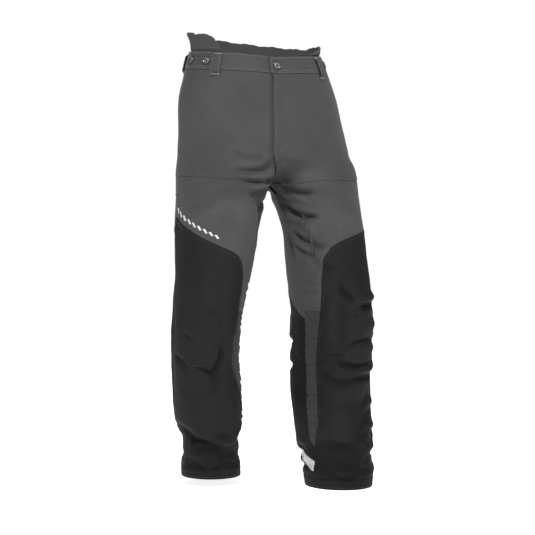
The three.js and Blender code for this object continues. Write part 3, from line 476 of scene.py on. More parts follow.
def capsules(start, end, out, across, radius):
    """Small pillows of thread from start to end, sunk at both ends."""
    count = len(start)
    rings = []
    sections = [(0.0, 0.15, -0.75), (0.22, 1.0, 0.25), (0.5, 1.1, 0.42), (0.78, 1.0, 0.25),
                (1.0, 0.15, -0.75)]
    angles = np.arange(5) * 2 * math.pi / 5
    for share, scale, lift in sections:
        centre = start + (end - start) * share + out * (lift * radius)
        ring = [centre + (across * math.cos(g) + out * math.sin(g)) * radius * scale for g in angles]
        rings.append(np.stack(ring, 1))
    vertices = np.concatenate(rings, 1)
    template = []
    for r in range(4):
        for k in range(5):
            a, b = r * 5 + k, r * 5 + (k + 1) % 5
            template.append((a, b, b + 5, a + 5))
    template = np.array(template)
    faces = (template[None] + (np.arange(count) * 25)[:, None, None]).reshape(-1, 4)
    return vertices.reshape(-1, 3), faces


def threads(name, rows, material):
    """Joins rows of stitches into one object."""
    vertices, faces, offset = [], [], 0
    for v, f in rows:
        if len(v):
            vertices.append(v)
            faces.append(f + offset)
            offset += len(v)
    return piece(name, np.concatenate(vertices), np.concatenate(faces), material)


def along_line(points, count=60):
    points = np.asarray(points, float)
    key = np.linspace(0, 1, len(points))
    t = np.linspace(0, 1, count)
    return np.stack([curve(np.c_[key, points[:, 0]], t), curve(np.c_[key, points[:, 1]], t)], -1)


def edge_line(edge, start, end, offset, count=80):
    """A line beside an edge that is a drop for each place round the leg; offset is downwards."""
    at = np.linspace(start, end, count)
    return np.stack([at, (edge(at) if callable(edge) else np.full(count, float(edge))) + offset], -1)


def side_line(edge, start, end, offset, count=80):
    """A line beside an edge that is a place round the leg for each drop; offset is millimetres round."""
    drop = np.linspace(start, end, count)
    at = (edge(drop) if callable(edge) else np.full(count, float(edge))) + offset / ROUND
    return np.stack([at, drop], -1)


def settle_leg(word):
    """Lets a slightly long leg of cloth fall between its hip seam and its hem, so that it buckles."""
    side = SIDES[word]
    first, step, count = 338.0, 8.5, 72
    last = HEM_DROP[side] - 26.0
    rows = int((last - first) / step) + 1
    step = (last - first) / (rows - 1)
    A, D = np.meshgrid(np.arange(count) / count, first + step * np.arange(rows), indexing="ij")
    rest = layer_point(side, A, D, 0.0)
    index = np.arange(count * rows).reshape(count, rows)
    follow = np.roll(index, -1, axis=0)
    faces = np.stack([index[:, :-1], follow[:, :-1], follow[:, 1:], index[:, 1:]], -1).reshape(-1, 4)
    made = piece("settling_" + word, rest.reshape(-1, 3), faces, None)
    share = (D - first) / (last - first)
    hold = np.maximum(np.maximum(1 - share / 0.03, (share - 0.975) / 0.02), 0.0) + 0.03 * (share < 0.35)
    pins = made.vertex_groups.new(name="held")
    for i, weight in enumerate(np.clip(hold, 0, 1).ravel()):
        pins.add([i], float(weight), "REPLACE")
    cloth = made.modifiers.new("settle", "CLOTH")
    settings = cloth.settings
    settings.quality, settings.mass = 6, 0.25
    settings.tension_stiffness, settings.compression_stiffness = 18, 12
    settings.shear_stiffness, settings.bending_stiffness = 4, 1.1
    settings.air_damping = 3.0
    settings.shrink_min = settings.shrink_max = -0.045
    settings.vertex_group_mass = "held"
    settings.pin_stiffness = 0.6
    settings.effector_weights.gravity = 0.12
    cloth.point_cache.frame_start, cloth.point_cache.frame_end = 1, 18
    for step_frame in range(1, 19):
        bpy.context.scene.frame_set(step_frame)
    fallen = made.evaluated_get(bpy.context.evaluated_depsgraph_get())
    places = np.zeros(len(fallen.data.vertices) * 3)
    fallen.data.vertices.foreach_get("co", places)
    moved = ((places.reshape(count, rows, 3) / MM - rest) * outward(side, A, D)).sum(-1)
    moved = 0.5 * moved + 0.125 * (np.roll(moved, 1, 0) + np.roll(moved, -1, 0) + np.roll(moved, 1, 1)
                                   + np.roll(moved, -1, 1))
    moved[:, 0] = moved[:, -1] = 0
    amount = 0.35 + 0.65 * smooth((D - 520) / 160)
    bpy.data.objects.remove(made)
    bpy.context.scene.frame_set(1)
    return np.clip(moved * amount, -9, 9), first, step


for word, side in SIDES.items():
    DRAPE[side] = settle_leg(word)


# ------------------------------------------------------------------ finishes
class Level:
    """A shader value; arithmetic on it adds Math nodes."""

    def __init__(self, nodes, socket):
        self.nodes, self.socket = nodes, socket

    def math(self, operation, *values):
        return self.nodes.add("ShaderNodeMath", {"operation": operation}, dict(enumerate(values)))["Value"]

    def __add__(self, other):
        return self.math("ADD", self, other)

    def __radd__(self, other):
        return self.math("ADD", other, self)

    def __sub__(self, other):
        return self.math("SUBTRACT", self, other)

    def __rsub__(self, other):
        return self.math("SUBTRACT", other, self)

    def __mul__(self, other):
        return self.math("MULTIPLY", self, other)

    def __rmul__(self, other):
        return self.math("MULTIPLY", other, self)

    def sine(self):
        return self.math("SINE", self)

    def size(self):
        return self.math("ABSOLUTE", self)

    def from_0_to_1(self):
        floored = self.math("MAXIMUM", self, 0.0)
        return self.math("MINIMUM", floored, 1.0)


class Nodes:
    """A node tree that takes each node by its type, settings and sockets."""

    def __init__(self, tree):
        self.tree = tree

    def add(self, kind, settings=None, sockets=None):
        node = self.tree.nodes.new(kind)
        for key, value in (settings or {}).items():
            if key == "stops":
                ramp = node.color_ramp
                while len(ramp.elements) < len(value):
                    ramp.elements.new(0.5)
                for element, (place, shade) in zip(ramp.elements, value):
                    element.position, element.color = place, (*shade, 1) if len(shade) == 3 else shade
            else:
                setattr(node, key, value)
        for key, value in (sockets or {}).items():
            self.feed(node.inputs[key], value)
        by_name = {output.name: Level(self, output) for output in node.outputs if output.enabled}
        return by_name | {place: Level(self, output) for place, output in enumerate(node.outputs)}

    def feed(self, socket, value):
        if isinstance(value, Level):
            self.tree.links.new(value.socket, socket)
        else:
            socket.default_value = value


class Finish(Nodes):
    """A material made of nodes round one shader."""

    def __init__(self, name, **constants):
        self.material = bpy.data.materials.new(name)
        self.material.use_nodes = True
        super().__init__(self.material.node_tree)
        self.shader = self.tree.nodes["Principled BSDF"]
        self.set(**constants)

    def set(self, **levels):
        for key, value in levels.items():
            self.feed(self.shader.inputs[key.replace("_", " ")], value)

    def pattern(self):
        """Where a place lies on the cut cloth, in metres: across and down."""
        split = self.add("ShaderNodeSeparateXYZ", None,
                         {0: self.add("ShaderNodeUVMap", {"uv_map": "pattern"})["UV"]})
        return split["X"], split["Y"]

    def wave(self, place, pitch):
        """From 0 to 1 and back once in each pitch."""
        return (place * (2 * math.pi / pitch)).sine() * 0.5 + 0.5

    def spots(self, scale, detail=2.0, where=None, roughness=0.55, stretch=None):
        where = where or self.add("ShaderNodeTexCoord")["Object"]
        if stretch:
            where = self.add("ShaderNodeMapping", None, {"Vector": where, "Scale": stretch})["Vector"]
        return self.add("ShaderNodeTexNoise", None, {"Vector": where, "Scale": scale, "Detail": detail,
                                                     "Roughness": roughness})["Fac"]

    def ramp(self, level, stops):
        return self.add("ShaderNodeValToRGB", {"stops": stops}, {"Fac": level})["Color"]

    def blend_colours(self, share, first, second):
        first, second = (colour if isinstance(colour, Level) else (*colour, 1)
                         for colour in (first, second))
        return self.add("ShaderNodeMix", {"data_type": "RGBA"}, {0: share, 6: first, 7: second})[2]

    def bump(self, height, distance, strength=1.0):
        self.set(Normal=self.add("ShaderNodeBump", None, {"Strength": strength, "Distance": distance,
                                                          "Height": height})["Normal"])


def woven_cloth(name, dark, light, ridge_colour, pitch, roughness, sheen, grain=1.0):
    """A plain weave with slubs and faded patches; fold ridges are painted paler (wear and painted light) and
    fold grooves darker (painted shade).
    """
    finish = Finish(name, Sheen_Weight=sheen, Sheen_Roughness=0.5, Specular_IOR_Level=0.2)
    across, down = finish.pattern()
    warp, weft = finish.wave(across + down * 0.5, pitch), finish.wave(down - across * 0.5, pitch)
    weave = warp * weft
    mottle = finish.spots(95, 3.0)
    slubs = finish.spots(900, 2.0, stretch=(1.0, 1.0, 0.25))
    fade = finish.spots(9, 2.0)
    fold = finish.add("ShaderNodeAttribute", {"attribute_name": "fold"})["Fac"]
    # The fold height paints light and shade: ridges blend toward the paler ridge colour (wear and painted
    # light), and grooves lose the blend that flat cloth has, which is painted shade.
    wear_and_painted_light = (fold * 0.16 + 0.35).from_0_to_1()
    tone = weave * 0.18 + mottle * 0.30 + slubs * 0.28 + fade * 0.50 - 0.13
    colour = finish.ramp(tone, [(0.25, dark), (0.85, light)])
    colour = finish.blend_colours(wear_and_painted_light * (mottle * 0.5 + 0.1), colour, ridge_colour)
    finish.set(Base_Color=colour, Roughness=roughness + (mottle - 0.5) * 0.16 - wear_and_painted_light * 0.05)
    finish.bump(weave * 0.6 + slubs * 0.5 * grain + mottle * 0.2, 0.0006, 0.35)
    return finish.material


def stretch_cloth():
    """A finely ribbed stretch cloth."""
    finish = Finish("ribbed_stretch_cloth", Sheen_Weight=0.05, Specular_IOR_Level=0.3)
    across, down = finish.pattern()
    ribs = finish.wave(down, 0.0024)
    mottle = finish.spots(120, 3.0)
    finish.set(Base_Color=finish.ramp(ribs * 0.4 + mottle * 0.6,
                                      [(0.0, (0.0105, 0.0105, 0.0107)), (1.0, (0.034, 0.034, 0.0344))]),
               Roughness=0.78 + mottle * 0.12)
    finish.bump(ribs + mottle * 0.4, 0.0008, 0.7)
    return finish.material


def ribbed_knit():
    finish = Finish("olive_black_knit", Sheen_Weight=0.05, Specular_IOR_Level=0.2)
    across, down = finish.pattern()
    ribs, loops = finish.wave(across, 0.0036), finish.wave(down, 0.0022)
    fluff = finish.spots(600, 3.0)
    finish.set(Base_Color=finish.ramp(ribs * 0.45 + loops * 0.15 + fluff * 0.5,
                                      [(0.0, (0.020, 0.020, 0.019)), (1.0, (0.082, 0.081, 0.076))]),
               Roughness=0.88 + fluff * 0.1)
    finish.bump(ribs + loops * 0.35 + fluff * 0.3, 0.0012, 0.7)
    return finish.material


def glass_bead_tape():
    """Silver bead tape with a fine lattice pressed in."""
    finish = Finish("silver_reflective_tape", Metallic=0.25, Specular_IOR_Level=0.6)
    across, down = finish.pattern()
    lattice = finish.wave(across + down, 0.0036) * finish.wave(across - down, 0.0036)
    beads = finish.spots(2400, 1.0)
    scuff = finish.spots(60, 4.0)
    finish.set(Base_Color=finish.ramp(beads * 0.5 + lattice * 0.3 + scuff * 0.4,
                                      [(0.2, (0.33, 0.34, 0.35)), (1.0, (0.72, 0.73, 0.75))]),
               Roughness=0.34 + scuff * 0.25)
    finish.bump(lattice + beads * 0.3, 0.0004, 0.5)
    return finish.material


def spun_thread(name, dark, light):
    finish = Finish(name, Sheen_Weight=0.3, Specular_IOR_Level=0.4)
    twist = finish.spots(1500, 1.0, stretch=(1.0, 1.0, 0.4))
    finish.set(Base_Color=finish.ramp(twist, [(0.3, dark), (0.7, light)]), Roughness=0.55 + twist * 0.25)
    finish.bump(twist, 0.0003, 0.6)
    return finish.material


def horn_button():
    """Moulded dark button plastic with pale streaks and a polished rim."""
    finish = Finish("streaked_button_plastic", Coat_Weight=0.35, Specular_IOR_Level=0.5)
    streaks = finish.spots(220, 4.0, stretch=(1.0, 1.0, 5.0))
    scuffs = finish.spots(900, 3.0)
    finish.set(Base_Color=finish.ramp(streaks,
                                      [(0.32, (0.008, 0.008, 0.0085)), (0.55, (0.018, 0.018, 0.018)),
                                       (0.78, (0.050, 0.049, 0.048))]),
               Roughness=0.24 + scuffs * 0.22)
    finish.bump(scuffs, 0.0002, 0.3)
    return finish.material


def ring_highlight_finish():
    """The paler ridge of a button: a painted highlight on the raised inner ring, with spotty variation."""
    finish = Finish("rubbed_button_ridge", Metallic=0.4, Specular_IOR_Level=0.5)
    wear_and_painted_light = finish.spots(500, 3.0)
    finish.set(Base_Color=finish.ramp(wear_and_painted_light, [(0.3, (0.10, 0.10, 0.10)), (0.7, (0.26, 0.26, 0.255))]),
               Roughness=0.3 + wear_and_painted_light * 0.2)
    finish.bump(wear_and_painted_light, 0.0002, 0.3)
    return finish.material


def dark_metal():
    finish = Finish("burnished_dark_metal", Metallic=1.0)
    brushed = finish.spots(700, 4.0, stretch=(1.0, 1.0, 0.08))
    patina = finish.spots(150, 3.0)
    finish.set(Base_Color=finish.ramp(patina, [(0.3, (0.10, 0.095, 0.085)), (0.7, (0.26, 0.25, 0.23))]),
               Roughness=0.26 + brushed * 0.3)
    finish.bump(brushed, 0.0002, 0.35)
    return finish.material


def quilted_fill():
    finish = Finish("quilted_cut_protection_fill", Sheen_Weight=0.4, Specular_IOR_Level=0.2)
    strands = finish.spots(420, 4.0, stretch=(1.0, 1.0, 0.15))
    clouds = finish.spots(40, 2.0)
    finish.set(Base_Color=finish.ramp(strands * 0.6 + clouds * 0.4,
                                      [(0.2, (0.42, 0.40, 0.33)), (0.85, (0.74, 0.72, 0.64))]),
                                      Roughness=0.9 + clouds * 0.08)
    finish.bump(strands + clouds, 0.0008, 0.6)
    return finish.material


def mesh_lining():
    finish = Finish("grey_mesh_lining", Sheen_Weight=0.2, Specular_IOR_Level=0.2)
    across, down = finish.pattern()
    holes = finish.wave(across, 0.0026) * finish.wave(down, 0.0026)
    cloud = finish.spots(60, 2.0)
    finish.set(Base_Color=finish.ramp(holes * 0.7 + cloud * 0.4,
                                      [(0.1, (0.17, 0.18, 0.16)), (0.9, (0.035, 0.037, 0.034))]),
                                      Roughness=0.85 + cloud * 0.1)
    finish.bump(holes, 0.0008, -0.7)
    return finish.material


def woven_zip_tape():
    finish = Finish("black_woven_zip_tape", Sheen_Weight=0.2, Specular_IOR_Level=0.3)
    where = finish.add("ShaderNodeTexCoord")["Object"]
    split = finish.add("ShaderNodeSeparateXYZ", None, {0: where})
    chevron = finish.wave(split["Z"] + split["X"].size(), 0.0016)
    fluff = finish.spots(700, 2.0)
    finish.set(Base_Color=finish.ramp(chevron * 0.5 + fluff * 0.5,
                                      [(0.1, (0.008, 0.008, 0.009)), (0.9, (0.032, 0.032, 0.034))]),
                                      Roughness=0.8 + fluff * 0.15)
    finish.bump(chevron + fluff * 0.4, 0.0004, 0.6)
    return finish.material


def matt_floor():
    finish = Finish("pale_studio_floor", Specular_IOR_Level=0.1, Emission_Color=(1, 1, 1, 1),
                    Emission_Strength=0.85)
    cloud = finish.spots(3, 2.0)
    finish.set(Base_Color=finish.ramp(cloud, [(0.2, (0.90, 0.90, 0.90)), (0.8, (0.94, 0.94, 0.94))]),
               Roughness=0.9 + cloud * 0.05)
    return finish.material


# The third colour of each woven cloth is its paler fold-ridge colour: part wear, part painted light.
GREY = woven_cloth("grey_work_cloth", (0.029, 0.029, 0.0292), (0.045, 0.045, 0.0453),
                   (0.063, 0.063, 0.0634), 0.0013, 0.80, 0.06)
BLACK = woven_cloth("black_guard_cloth", (0.0016, 0.0016, 0.0017), (0.0058, 0.0058, 0.0060),
                    (0.0125, 0.0125, 0.0127), 0.0018, 0.82, 0.0, 1.5)
STRIP = stretch_cloth()
KNIT = ribbed_knit()
SILVER = glass_bead_tape()
PALE_THREAD = spun_thread("pale_grey_thread", (0.10, 0.10, 0.102), (0.235, 0.235, 0.237))
GREY_THREAD = spun_thread("mid_grey_thread", (0.026, 0.026, 0.028), (0.068, 0.068, 0.071))
DARK_THREAD = spun_thread("dark_thread", (0.006, 0.006, 0.007), (0.020, 0.020, 0.022))
HORN = horn_button()
METAL = dark_metal()
# Paler material for the button's raised inner ring: a painted highlight.
RING_HIGHLIGHT = ring_highlight_finish()
FILL = quilted_fill()
MESH = mesh_lining()
ZIP_TAPE = woven_zip_tape()


def bend_at_hip(made):
    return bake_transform(made)


def bend_at_knee(made):
    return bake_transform(made)


def guard_top(side):
    return lambda at: curve(GUARD_TOP[side], at)


def strip_edge(side):
    return lambda drop: curve(STRIP_EDGE[side], drop)


def back_guard_top(at):
    return curve(BACK_GUARD_TOP, at)


# ------------------------------------------------------------------ fly
FLY_EDGE = [(42, 0.0201), (60, 0.0205), (100, 0.0270), (160, 0.0390), (205, 0.0475), (238, 0.0540),
            (262, 0.0580), (280, 0.0480), (294, 0.0200), (306, 0.0), (318, 0.0)]
FLY_WIDTH = 0.040


def fly_edge(drop):
    return curve(FLY_EDGE, drop)


def left_front_inner(drop):
    return np.where(drop < 306, -fly_edge(drop), 0.0005)


def right_front_inner(drop):
    return np.where(drop < 304, np.minimum(0.0209, fly_edge(drop) + 0.0008), 0.0009)


def under_placket(at, drop):
    hidden = 1 - smooth(((at - fly_edge(drop)) / FRONT_ROUND - 1.0) / 11.0)
    return 4.2 * hidden * (1 - smooth((drop - 282) / 18))


def placket_stitch():
    """The curved row that holds the zip facing."""
    down = np.linspace(46, 190, 50)
    straight = np.stack([-fly_edge(down) + FLY_WIDTH, down], -1)
    t = np.linspace(0, 1, 30)[1:]
    end = np.array([-float(fly_edge(np.array(236.0))) + 0.002, 236.0])
    start = straight[-1]
    corner = np.array([start[0] - 0.004, 236.0])
    arc = ((1 - t) ** 2)[:, None] * start + (2 * t * (1 - t))[:, None] * corner + (t * t)[:, None] * end
    return np.concatenate([straight, arc])


def placket_pucker(at, drop):
    """The row of thread draws the cloth in and leaves small puckers beside it."""
    line = -fly_edge(drop) + FLY_WIDTH
    off = (at - line) / FRONT_ROUND
    near = np.exp(-(off / 4.2) ** 2) * smooth((212 - drop) / 20)
    wrinkles = np.exp(-(off / 9.0) ** 2) * np.sin(drop / 4.2 + 2 * np.sin(drop / 17.0)) * (0.55 + 0.45
            * np.sin(drop / 11.0)) * smooth((222 - drop) / 20)
    folded = smooth((302 - drop) / 20)
    edge = (at + fly_edge(drop)) / FRONT_ROUND
    return -3.8 * near + 3.2 * wrinkles + folded * 3.6 * (1 - smooth((edge - 9) / 3))


# ------------------------------------------------------------------ legs and hips
FRONT_MIDDLE, FRONT_SIDE, BACK_SIDE, BACK_MIDDLE = 0.0003, 0.4992, 0.5002, 0.9994
SEAM = 0.2
ON_LAP = -0.98
ABOVE_SEAM, BELOW_SEAM = (-2.2, -7.2), (2.2, 7.2)
KNEE_DARTS = {
    RIGHT: [(0.352, 740, 0.272, 744), (0.327, 756, 0.272, 757), (0.337, 768, 0.275, 767)],
    LEFT: [(0.08, 738, 0.192, 738)]}
UPPER_LAYERS, KNEE_LINE, SHIN_PAD_END = 364, 640, 958
PAD_FROM, PAD_TO = 3 / 24, 14 / 24
QUILT = 62

for word, side in SIDES.items():
    hem = HEM_DROP[side]
    cuff = hem - 25
    top_of_guard, edge_of_strip = guard_top(side), strip_edge(side)
    thigh_seam = lambda at, side=side: curve(THIGH_SEAM[side], at)
    corner_at, corner_drop = GUARD_TOP[side][0]
    strip_bottom = STRIP_BOTTOM[side]

    front_left = left_front_inner if side == LEFT else right_front_inner
    front = panel("front_" + word, side, GREY, front_left, FRONT_SIDE, BAND_HEIGHT + BAND_GAP,
                  lambda at: thigh_seam(at) - SEAM,
                  laps="b", tucks="r", depth=0.0 if side == LEFT else under_placket,
                  raise_by=placket_pucker if side == LEFT else None,
                  cell=CELL * (0.6 if side == LEFT else 0.8))
    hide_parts("front_panel_" + word, "hip_fold_" + word)
    seat = panel("seat_" + word, side, GREY, BACK_SIDE, BACK_MIDDLE, BAND_HEIGHT + BAND_GAP,
                 SEAT_SEAM - SEAM,
                 laps="lbr" if side == LEFT else "lb", tucks="r" if side == RIGHT else "")
    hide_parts("seat_" + word)

    def thigh_front_bottom(at, side=side, top_of_guard=top_of_guard, corner_at=corner_at,
                           corner_drop=corner_drop):
        below = corner_drop + (STRIP_TOP - corner_drop) * smooth((corner_at - at) / 0.012 + 0.3)
        return np.where(at >= corner_at, top_of_guard(at), below) - SEAM

    thigh_front = panel("thigh_front_" + word, side, GREY, FRONT_MIDDLE, FRONT_SIDE,
                        lambda at: thigh_seam(at) + SEAM, thigh_front_bottom, laps="l", tucks="tbr")
    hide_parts("thigh_front_" + word)
    thigh_back = panel("thigh_back_" + word, side, GREY, BACK_SIDE, BACK_MIDDLE, SEAT_SEAM + SEAM,
                       lambda at: back_guard_top(at) - SEAM, laps="l", tucks="tbr")
    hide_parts("thigh_back_" + word)

    def guard_inner(drop, edge_of_strip=edge_of_strip):
        return edge_of_strip(drop) + 0.0006

    def guard_upper(at, top_of_guard=top_of_guard, corner_at=corner_at, corner_drop=corner_drop):
        return np.where(at >= corner_at, top_of_guard(at), corner_drop) + SEAM

    guard = panel("front_guard_" + word, side, BLACK, guard_inner, FRONT_SIDE, guard_upper, cuff - 0.4,
                  laps="lt", tucks="rb")
    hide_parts("thigh_guard_" + word, "shin_guard_" + word, "knee_fold_" + word)
    strip = panel("inner_strip_" + word, side, STRIP, FRONT_MIDDLE, edge_of_strip, STRIP_TOP + SEAM,
                  strip_bottom - 3, laps="l", tucks="r", cell=CELL * 0.55, tuck=10.0)
    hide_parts("inner_strip_" + word)
    calf = panel("calf_back_" + word, side, BLACK, BACK_SIDE, BACK_MIDDLE, lambda at: back_guard_top(at)
                 + SEAM, cuff - 0.4, laps="lt", tucks="br")
    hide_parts("back_guard_" + word, "calf_back_" + word)

    def hem_roll(at, drop, cuff=cuff):
        puckers = 0.25 * np.sin(at * 260) * np.exp(-((drop - cuff - 20) / 3.0) ** 2)
        return 0.7 + puckers - 0.5 * np.exp(-((drop - cuff - 20.5) / 1.4) ** 2)

    hem_ring = panel("hem_" + word, side, BLACK, 0.0, 1.0, cuff - 0.2, hem, closed=True, thickness=2.9,
                     raise_by=hem_roll)
    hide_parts("hem_" + word)

    def tape_middle(at, hem=hem):
        return hem - (146 + (54 - 146) * (at - OUTSEAM) / 0.5)

    tape = panel("reflective_tape_" + word, side, SILVER, 0.502, 0.997, lambda at: tape_middle(at) - 12,
                 lambda at: tape_middle(at) + 12,
                 depth=-1.1, thickness=0.5)
    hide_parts("reflective_tape_" + word)

    def quilting(at, drop):
        u, v = at * ROUND / QUILT, drop / QUILT
        return 0.42 + 0.58 * np.sqrt(np.abs(np.sin(math.pi * (u + v)) * np.sin(math.pi * (u - v))) + 1e-4)

    def seam_room(at, drop):
        return 2.2 * np.exp(-((at - guard_inner(drop)) / 0.035) ** 2)

    def pad_depth(at, drop):
        room = seam_room(at, drop)
        return PAD_DEPTH + room + (PAD - room) * 0.5 * (1 - quilting(at, drop))

    def pad_thickness(at, drop):
        return (PAD - seam_room(at, drop)) * quilting(at, drop)

    pads = []
    for kind, high, low in (("thigh_pad", UPPER_LAYERS, KNEE_LINE),
                            ("knee_pad", KNEE_LINE + 1, SHIN_PAD_END)):
        made = panel(kind + "_" + word, side, FILL, PAD_FROM, PAD_TO, high, low, depth=pad_depth,
                     thickness=pad_thickness)
        pads.append(made)
    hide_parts("thigh_pad_" + word)
    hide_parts("shin_pad_" + word)
    linings = []
    for kind, high, low in (("thigh_lining", UPPER_LAYERS, KNEE_LINE),
                            ("shin_lining", KNEE_LINE + 1, hem - 29)):
        linings.append(panel(kind + "_" + word, side, MESH, 0.0, 1.0, high, low, depth=LINING_DEPTH,
                             thickness=LINING, closed=True, cell=CELL * 1.6))
    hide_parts("thigh_lining_" + word)
    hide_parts("shin_lining_" + word)

    pocket = panel("pocket_bag_" + word, side, MESH, 6 / 24, 11 / 24, 56, lambda at: 229 - 20
                   * np.abs(at * 24 - 8.5) / 2.5,
                   depth=FACE_CLOTH + 0.8, thickness=LINING)
    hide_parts("pocket_bag_" + word)
    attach(pocket, "hips")

    def seam_rows(seam, start, end, gaps, line=edge_line, side=side):
        """Rows of thread on a lapped seam, one at each gap from its edge."""
        return [stitch_row(side, line(seam, start, end, gap), ON_LAP) for gap in gaps]

    upper_rows = seam_rows(thigh_seam, 0.012, 0.495, ABOVE_SEAM)
    upper_rows += seam_rows(BACK_SIDE, 60, SEAT_SEAM - 6, BELOW_SEAM, side_line)
    upper_rows += seam_rows(SEAT_SEAM, 0.505, 0.985, ABOVE_SEAM)
    if side == LEFT:
        upper_rows += seam_rows(BACK_MIDDLE, 60, 315, ABOVE_SEAM, side_line)
    thigh_rows = seam_rows(BACK_SIDE, SEAT_SEAM + 4, 392, BELOW_SEAM, side_line)
    guard_rows = seam_rows(top_of_guard, corner_at + 0.006, 0.495, BELOW_SEAM)
    guard_rows += seam_rows(back_guard_top, 0.505, 0.985, BELOW_SEAM)
    guard_rows += seam_rows(edge_of_strip, corner_drop + 8, strip_bottom - 6, (2.6, 7.2), side_line)
    guard_rows += seam_rows(BACK_SIDE, 404, cuff - 3, BELOW_SEAM, side_line)
    for start_at, start_drop, end_at, end_drop in KNEE_DARTS[side]:
        dart = along_line([(start_at, start_drop - 1), (end_at, end_drop - 1)], 12)
        guard_rows.append(stitch_row(side, dart, -0.25))
    hem_rows = [stitch_row(side, edge_line(cuff, 0.0, 0.999, 19.5), -0.95, pitch=4.0)]
    tape_rows = [stitch_row(side, edge_line(tape_middle, 0.506, 0.993, gap), -1.45, pitch=3.4, length=2.4)
                 for gap in (-10.3, 10.3)]
    strip_rows = [stitch_row(side,
                             edge_line(STRIP_TOP, 0.002,
                                       max(0.02, float(edge_of_strip(np.array(640.0))) - 0.006), gap),
                                       -0.2) for gap in (2.6, 6.6)]
    if side == LEFT:
        strip_rows += [stitch_row(side,
                                  edge_line(drop_line, 0.003,
                                            float(edge_of_strip(np.array(float(drop_line)))) - 0.004, 0),
                                            -0.2, pitch=3.4, length=2.4)
                       for drop_line in (608, 934)]

    seam_stitches = threads("hip_stitching_" + word, upper_rows, GREY_THREAD)
    thigh_stitches = threads("thigh_stitching_" + word, thigh_rows, GREY_THREAD)
    guard_stitches = threads("guard_stitching_" + word, guard_rows, DARK_THREAD)
    strip_stitches = threads("strip_stitching_" + word, strip_rows, GREY_THREAD)
    hem_stitches = threads("hem_stitching_" + word, hem_rows, GREY_THREAD)
    tape_stitches = threads("tape_stitching_" + word, tape_rows, PALE_THREAD)

    for made in (front, seat, thigh_front, thigh_back, seam_stitches, thigh_stitches, pads[0], linings[0]):
        bend_at_hip(made)
    for made in (guard, strip, calf, guard_stitches, strip_stitches, pads[1], linings[1]):
        bend_at_knee(made)
    for made in (hem_ring, tape, hem_stitches, tape_stitches):
        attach(made, "shin_" + word)
    slots = {
        "grey_cloth": (front, seat, thigh_front, thigh_back, seam_stitches, thigh_stitches),
        "black_cloth": (guard, calf, hem_ring, guard_stitches, hem_stitches),
        "stretch_strip": (strip, strip_stitches),
        "reflective": (tape, tape_stitches),
        "pad": pads,
        "lining": linings}
    for slot, pieces in slots.items():
        for made in pieces:
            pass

# ------------------------------------------------------------------ plain printed bars above the right guard
INK = Finish("pale_printed_ink", Specular_IOR_Level=0.4)
cracks = INK.spots(700, 4.0)
INK.set(Base_Color=INK.ramp(cracks, [(0.35, (0.30, 0.30, 0.30)), (0.60, (0.62, 0.62, 0.62))]),
        Roughness=0.5 + cracks * 0.3)
BARS, BAR_PITCH, HALF_BAR, BAR_SLANT = 9, 0.0235, 0.0045, 0.012
for k in range(BARS):
    middle_at = 0.486 - BAR_PITCH * k
    height = 15.0 - 0.7 * k
    foot = float(curve(GUARD_TOP[RIGHT], middle_at) - 15.0)

    def bar_left(drop, middle_at=middle_at, foot=foot, height=height):
        return middle_at - HALF_BAR - BAR_SLANT * (drop - foot) / height

    def bar_right(drop, middle_at=middle_at, foot=foot, height=height):
        return middle_at + HALF_BAR - BAR_SLANT * (drop - foot) / height

    bar = panel("printed_bar_%d" % (k + 1), RIGHT, INK.material, bar_left, bar_right, foot - height, foot,
                depth=-0.12, thickness=0.1, cell=3.0, flat_edges=True)
    bend_at_hip(bar)

# ------------------------------------------------------------------ fly pieces
placket = placket_stitch()
fly_rows = [stitch_row(LEFT, placket, -0.1, pitch=3.6, length=2.6),
            stitch_row(LEFT, placket + np.array([0.0075, 0.0]), -0.1, pitch=3.6, length=2.6)]
fly_rows += [stitch_row(LEFT, side_line(lambda d: -fly_edge(d), 46, 232, 2.4), -1.45)]
base_at = -float(fly_edge(np.array(224.0)))
for shift in np.linspace(-0.0009, 0.0009, 5):
    for tack_at, tack_top, tack_bottom, lift in ((0.046, 217, 227, -0.35), (0.004, 238, 249, -1.0)):
        tack = [(base_at + tack_at + shift, tack_top), (base_at + tack_at + shift, tack_bottom)]
        fly_rows.append(stitch_row(LEFT, tack, lift, pitch=2.0, length=1.9, thick=0.7))
fly_stitches = threads("fly_stitching", fly_rows, GREY_THREAD)
bend_at_hip(fly_stitches)
facing = panel("fly_facing", LEFT, GREY, 14 * FRONT_ROUND, 30 * FRONT_ROUND, BAND_HEIGHT + BAND_GAP, 222,
               depth=2.1, thickness=3.0)
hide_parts("fly_facing")
shield = panel("fly_shield", RIGHT, GREY, -24 * FRONT_ROUND, 3 / 24, BAND_HEIGHT + 4, 222, thickness=1.2,
               depth=lambda at, drop: 11.2 - 8.4 * smooth((at / FRONT_ROUND - 34) / 14))
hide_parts("fly_shield")
for made in (facing, shield):
    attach(made, "hips")
for node in ("zip_tape_right", "zip_tape_left"):
    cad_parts[node].data.materials[0] = ZIP_TAPE
for node in ("zip_chain_right", "zip_chain_left", "zip_slider", "zip_pull"):
    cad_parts[node].data.materials[0] = METAL

# ------------------------------------------------------------------ waistband
OVERLAP_END = BAND_OVERLAP * FRONT_ROUND


def band_crown(at, drop):
    """The band is stuffed by its seams: full in the middle, drawn in along both rows of thread."""
    full = 0.55 * np.sin(math.pi * np.clip(drop / BAND_HEIGHT, 0, 1))
    top_row = -0.5 * np.exp(-((drop - 3.2) / 1.1) ** 2)
    low_rows = -0.5 * np.exp(-((drop - 34.5) / 1.1) ** 2) - 0.5 * np.exp(-((drop - 39.2) / 1.1) ** 2)
    ease = 0.18 * lattice_noise(at * 40, drop / 30, 77, 97)
    return full + top_row + low_rows + ease


def right_band_depth(at, _drop):
    return 4.2 * (1 - smooth((at - OVERLAP_END) / FRONT_ROUND / 9.0 - 0.1))


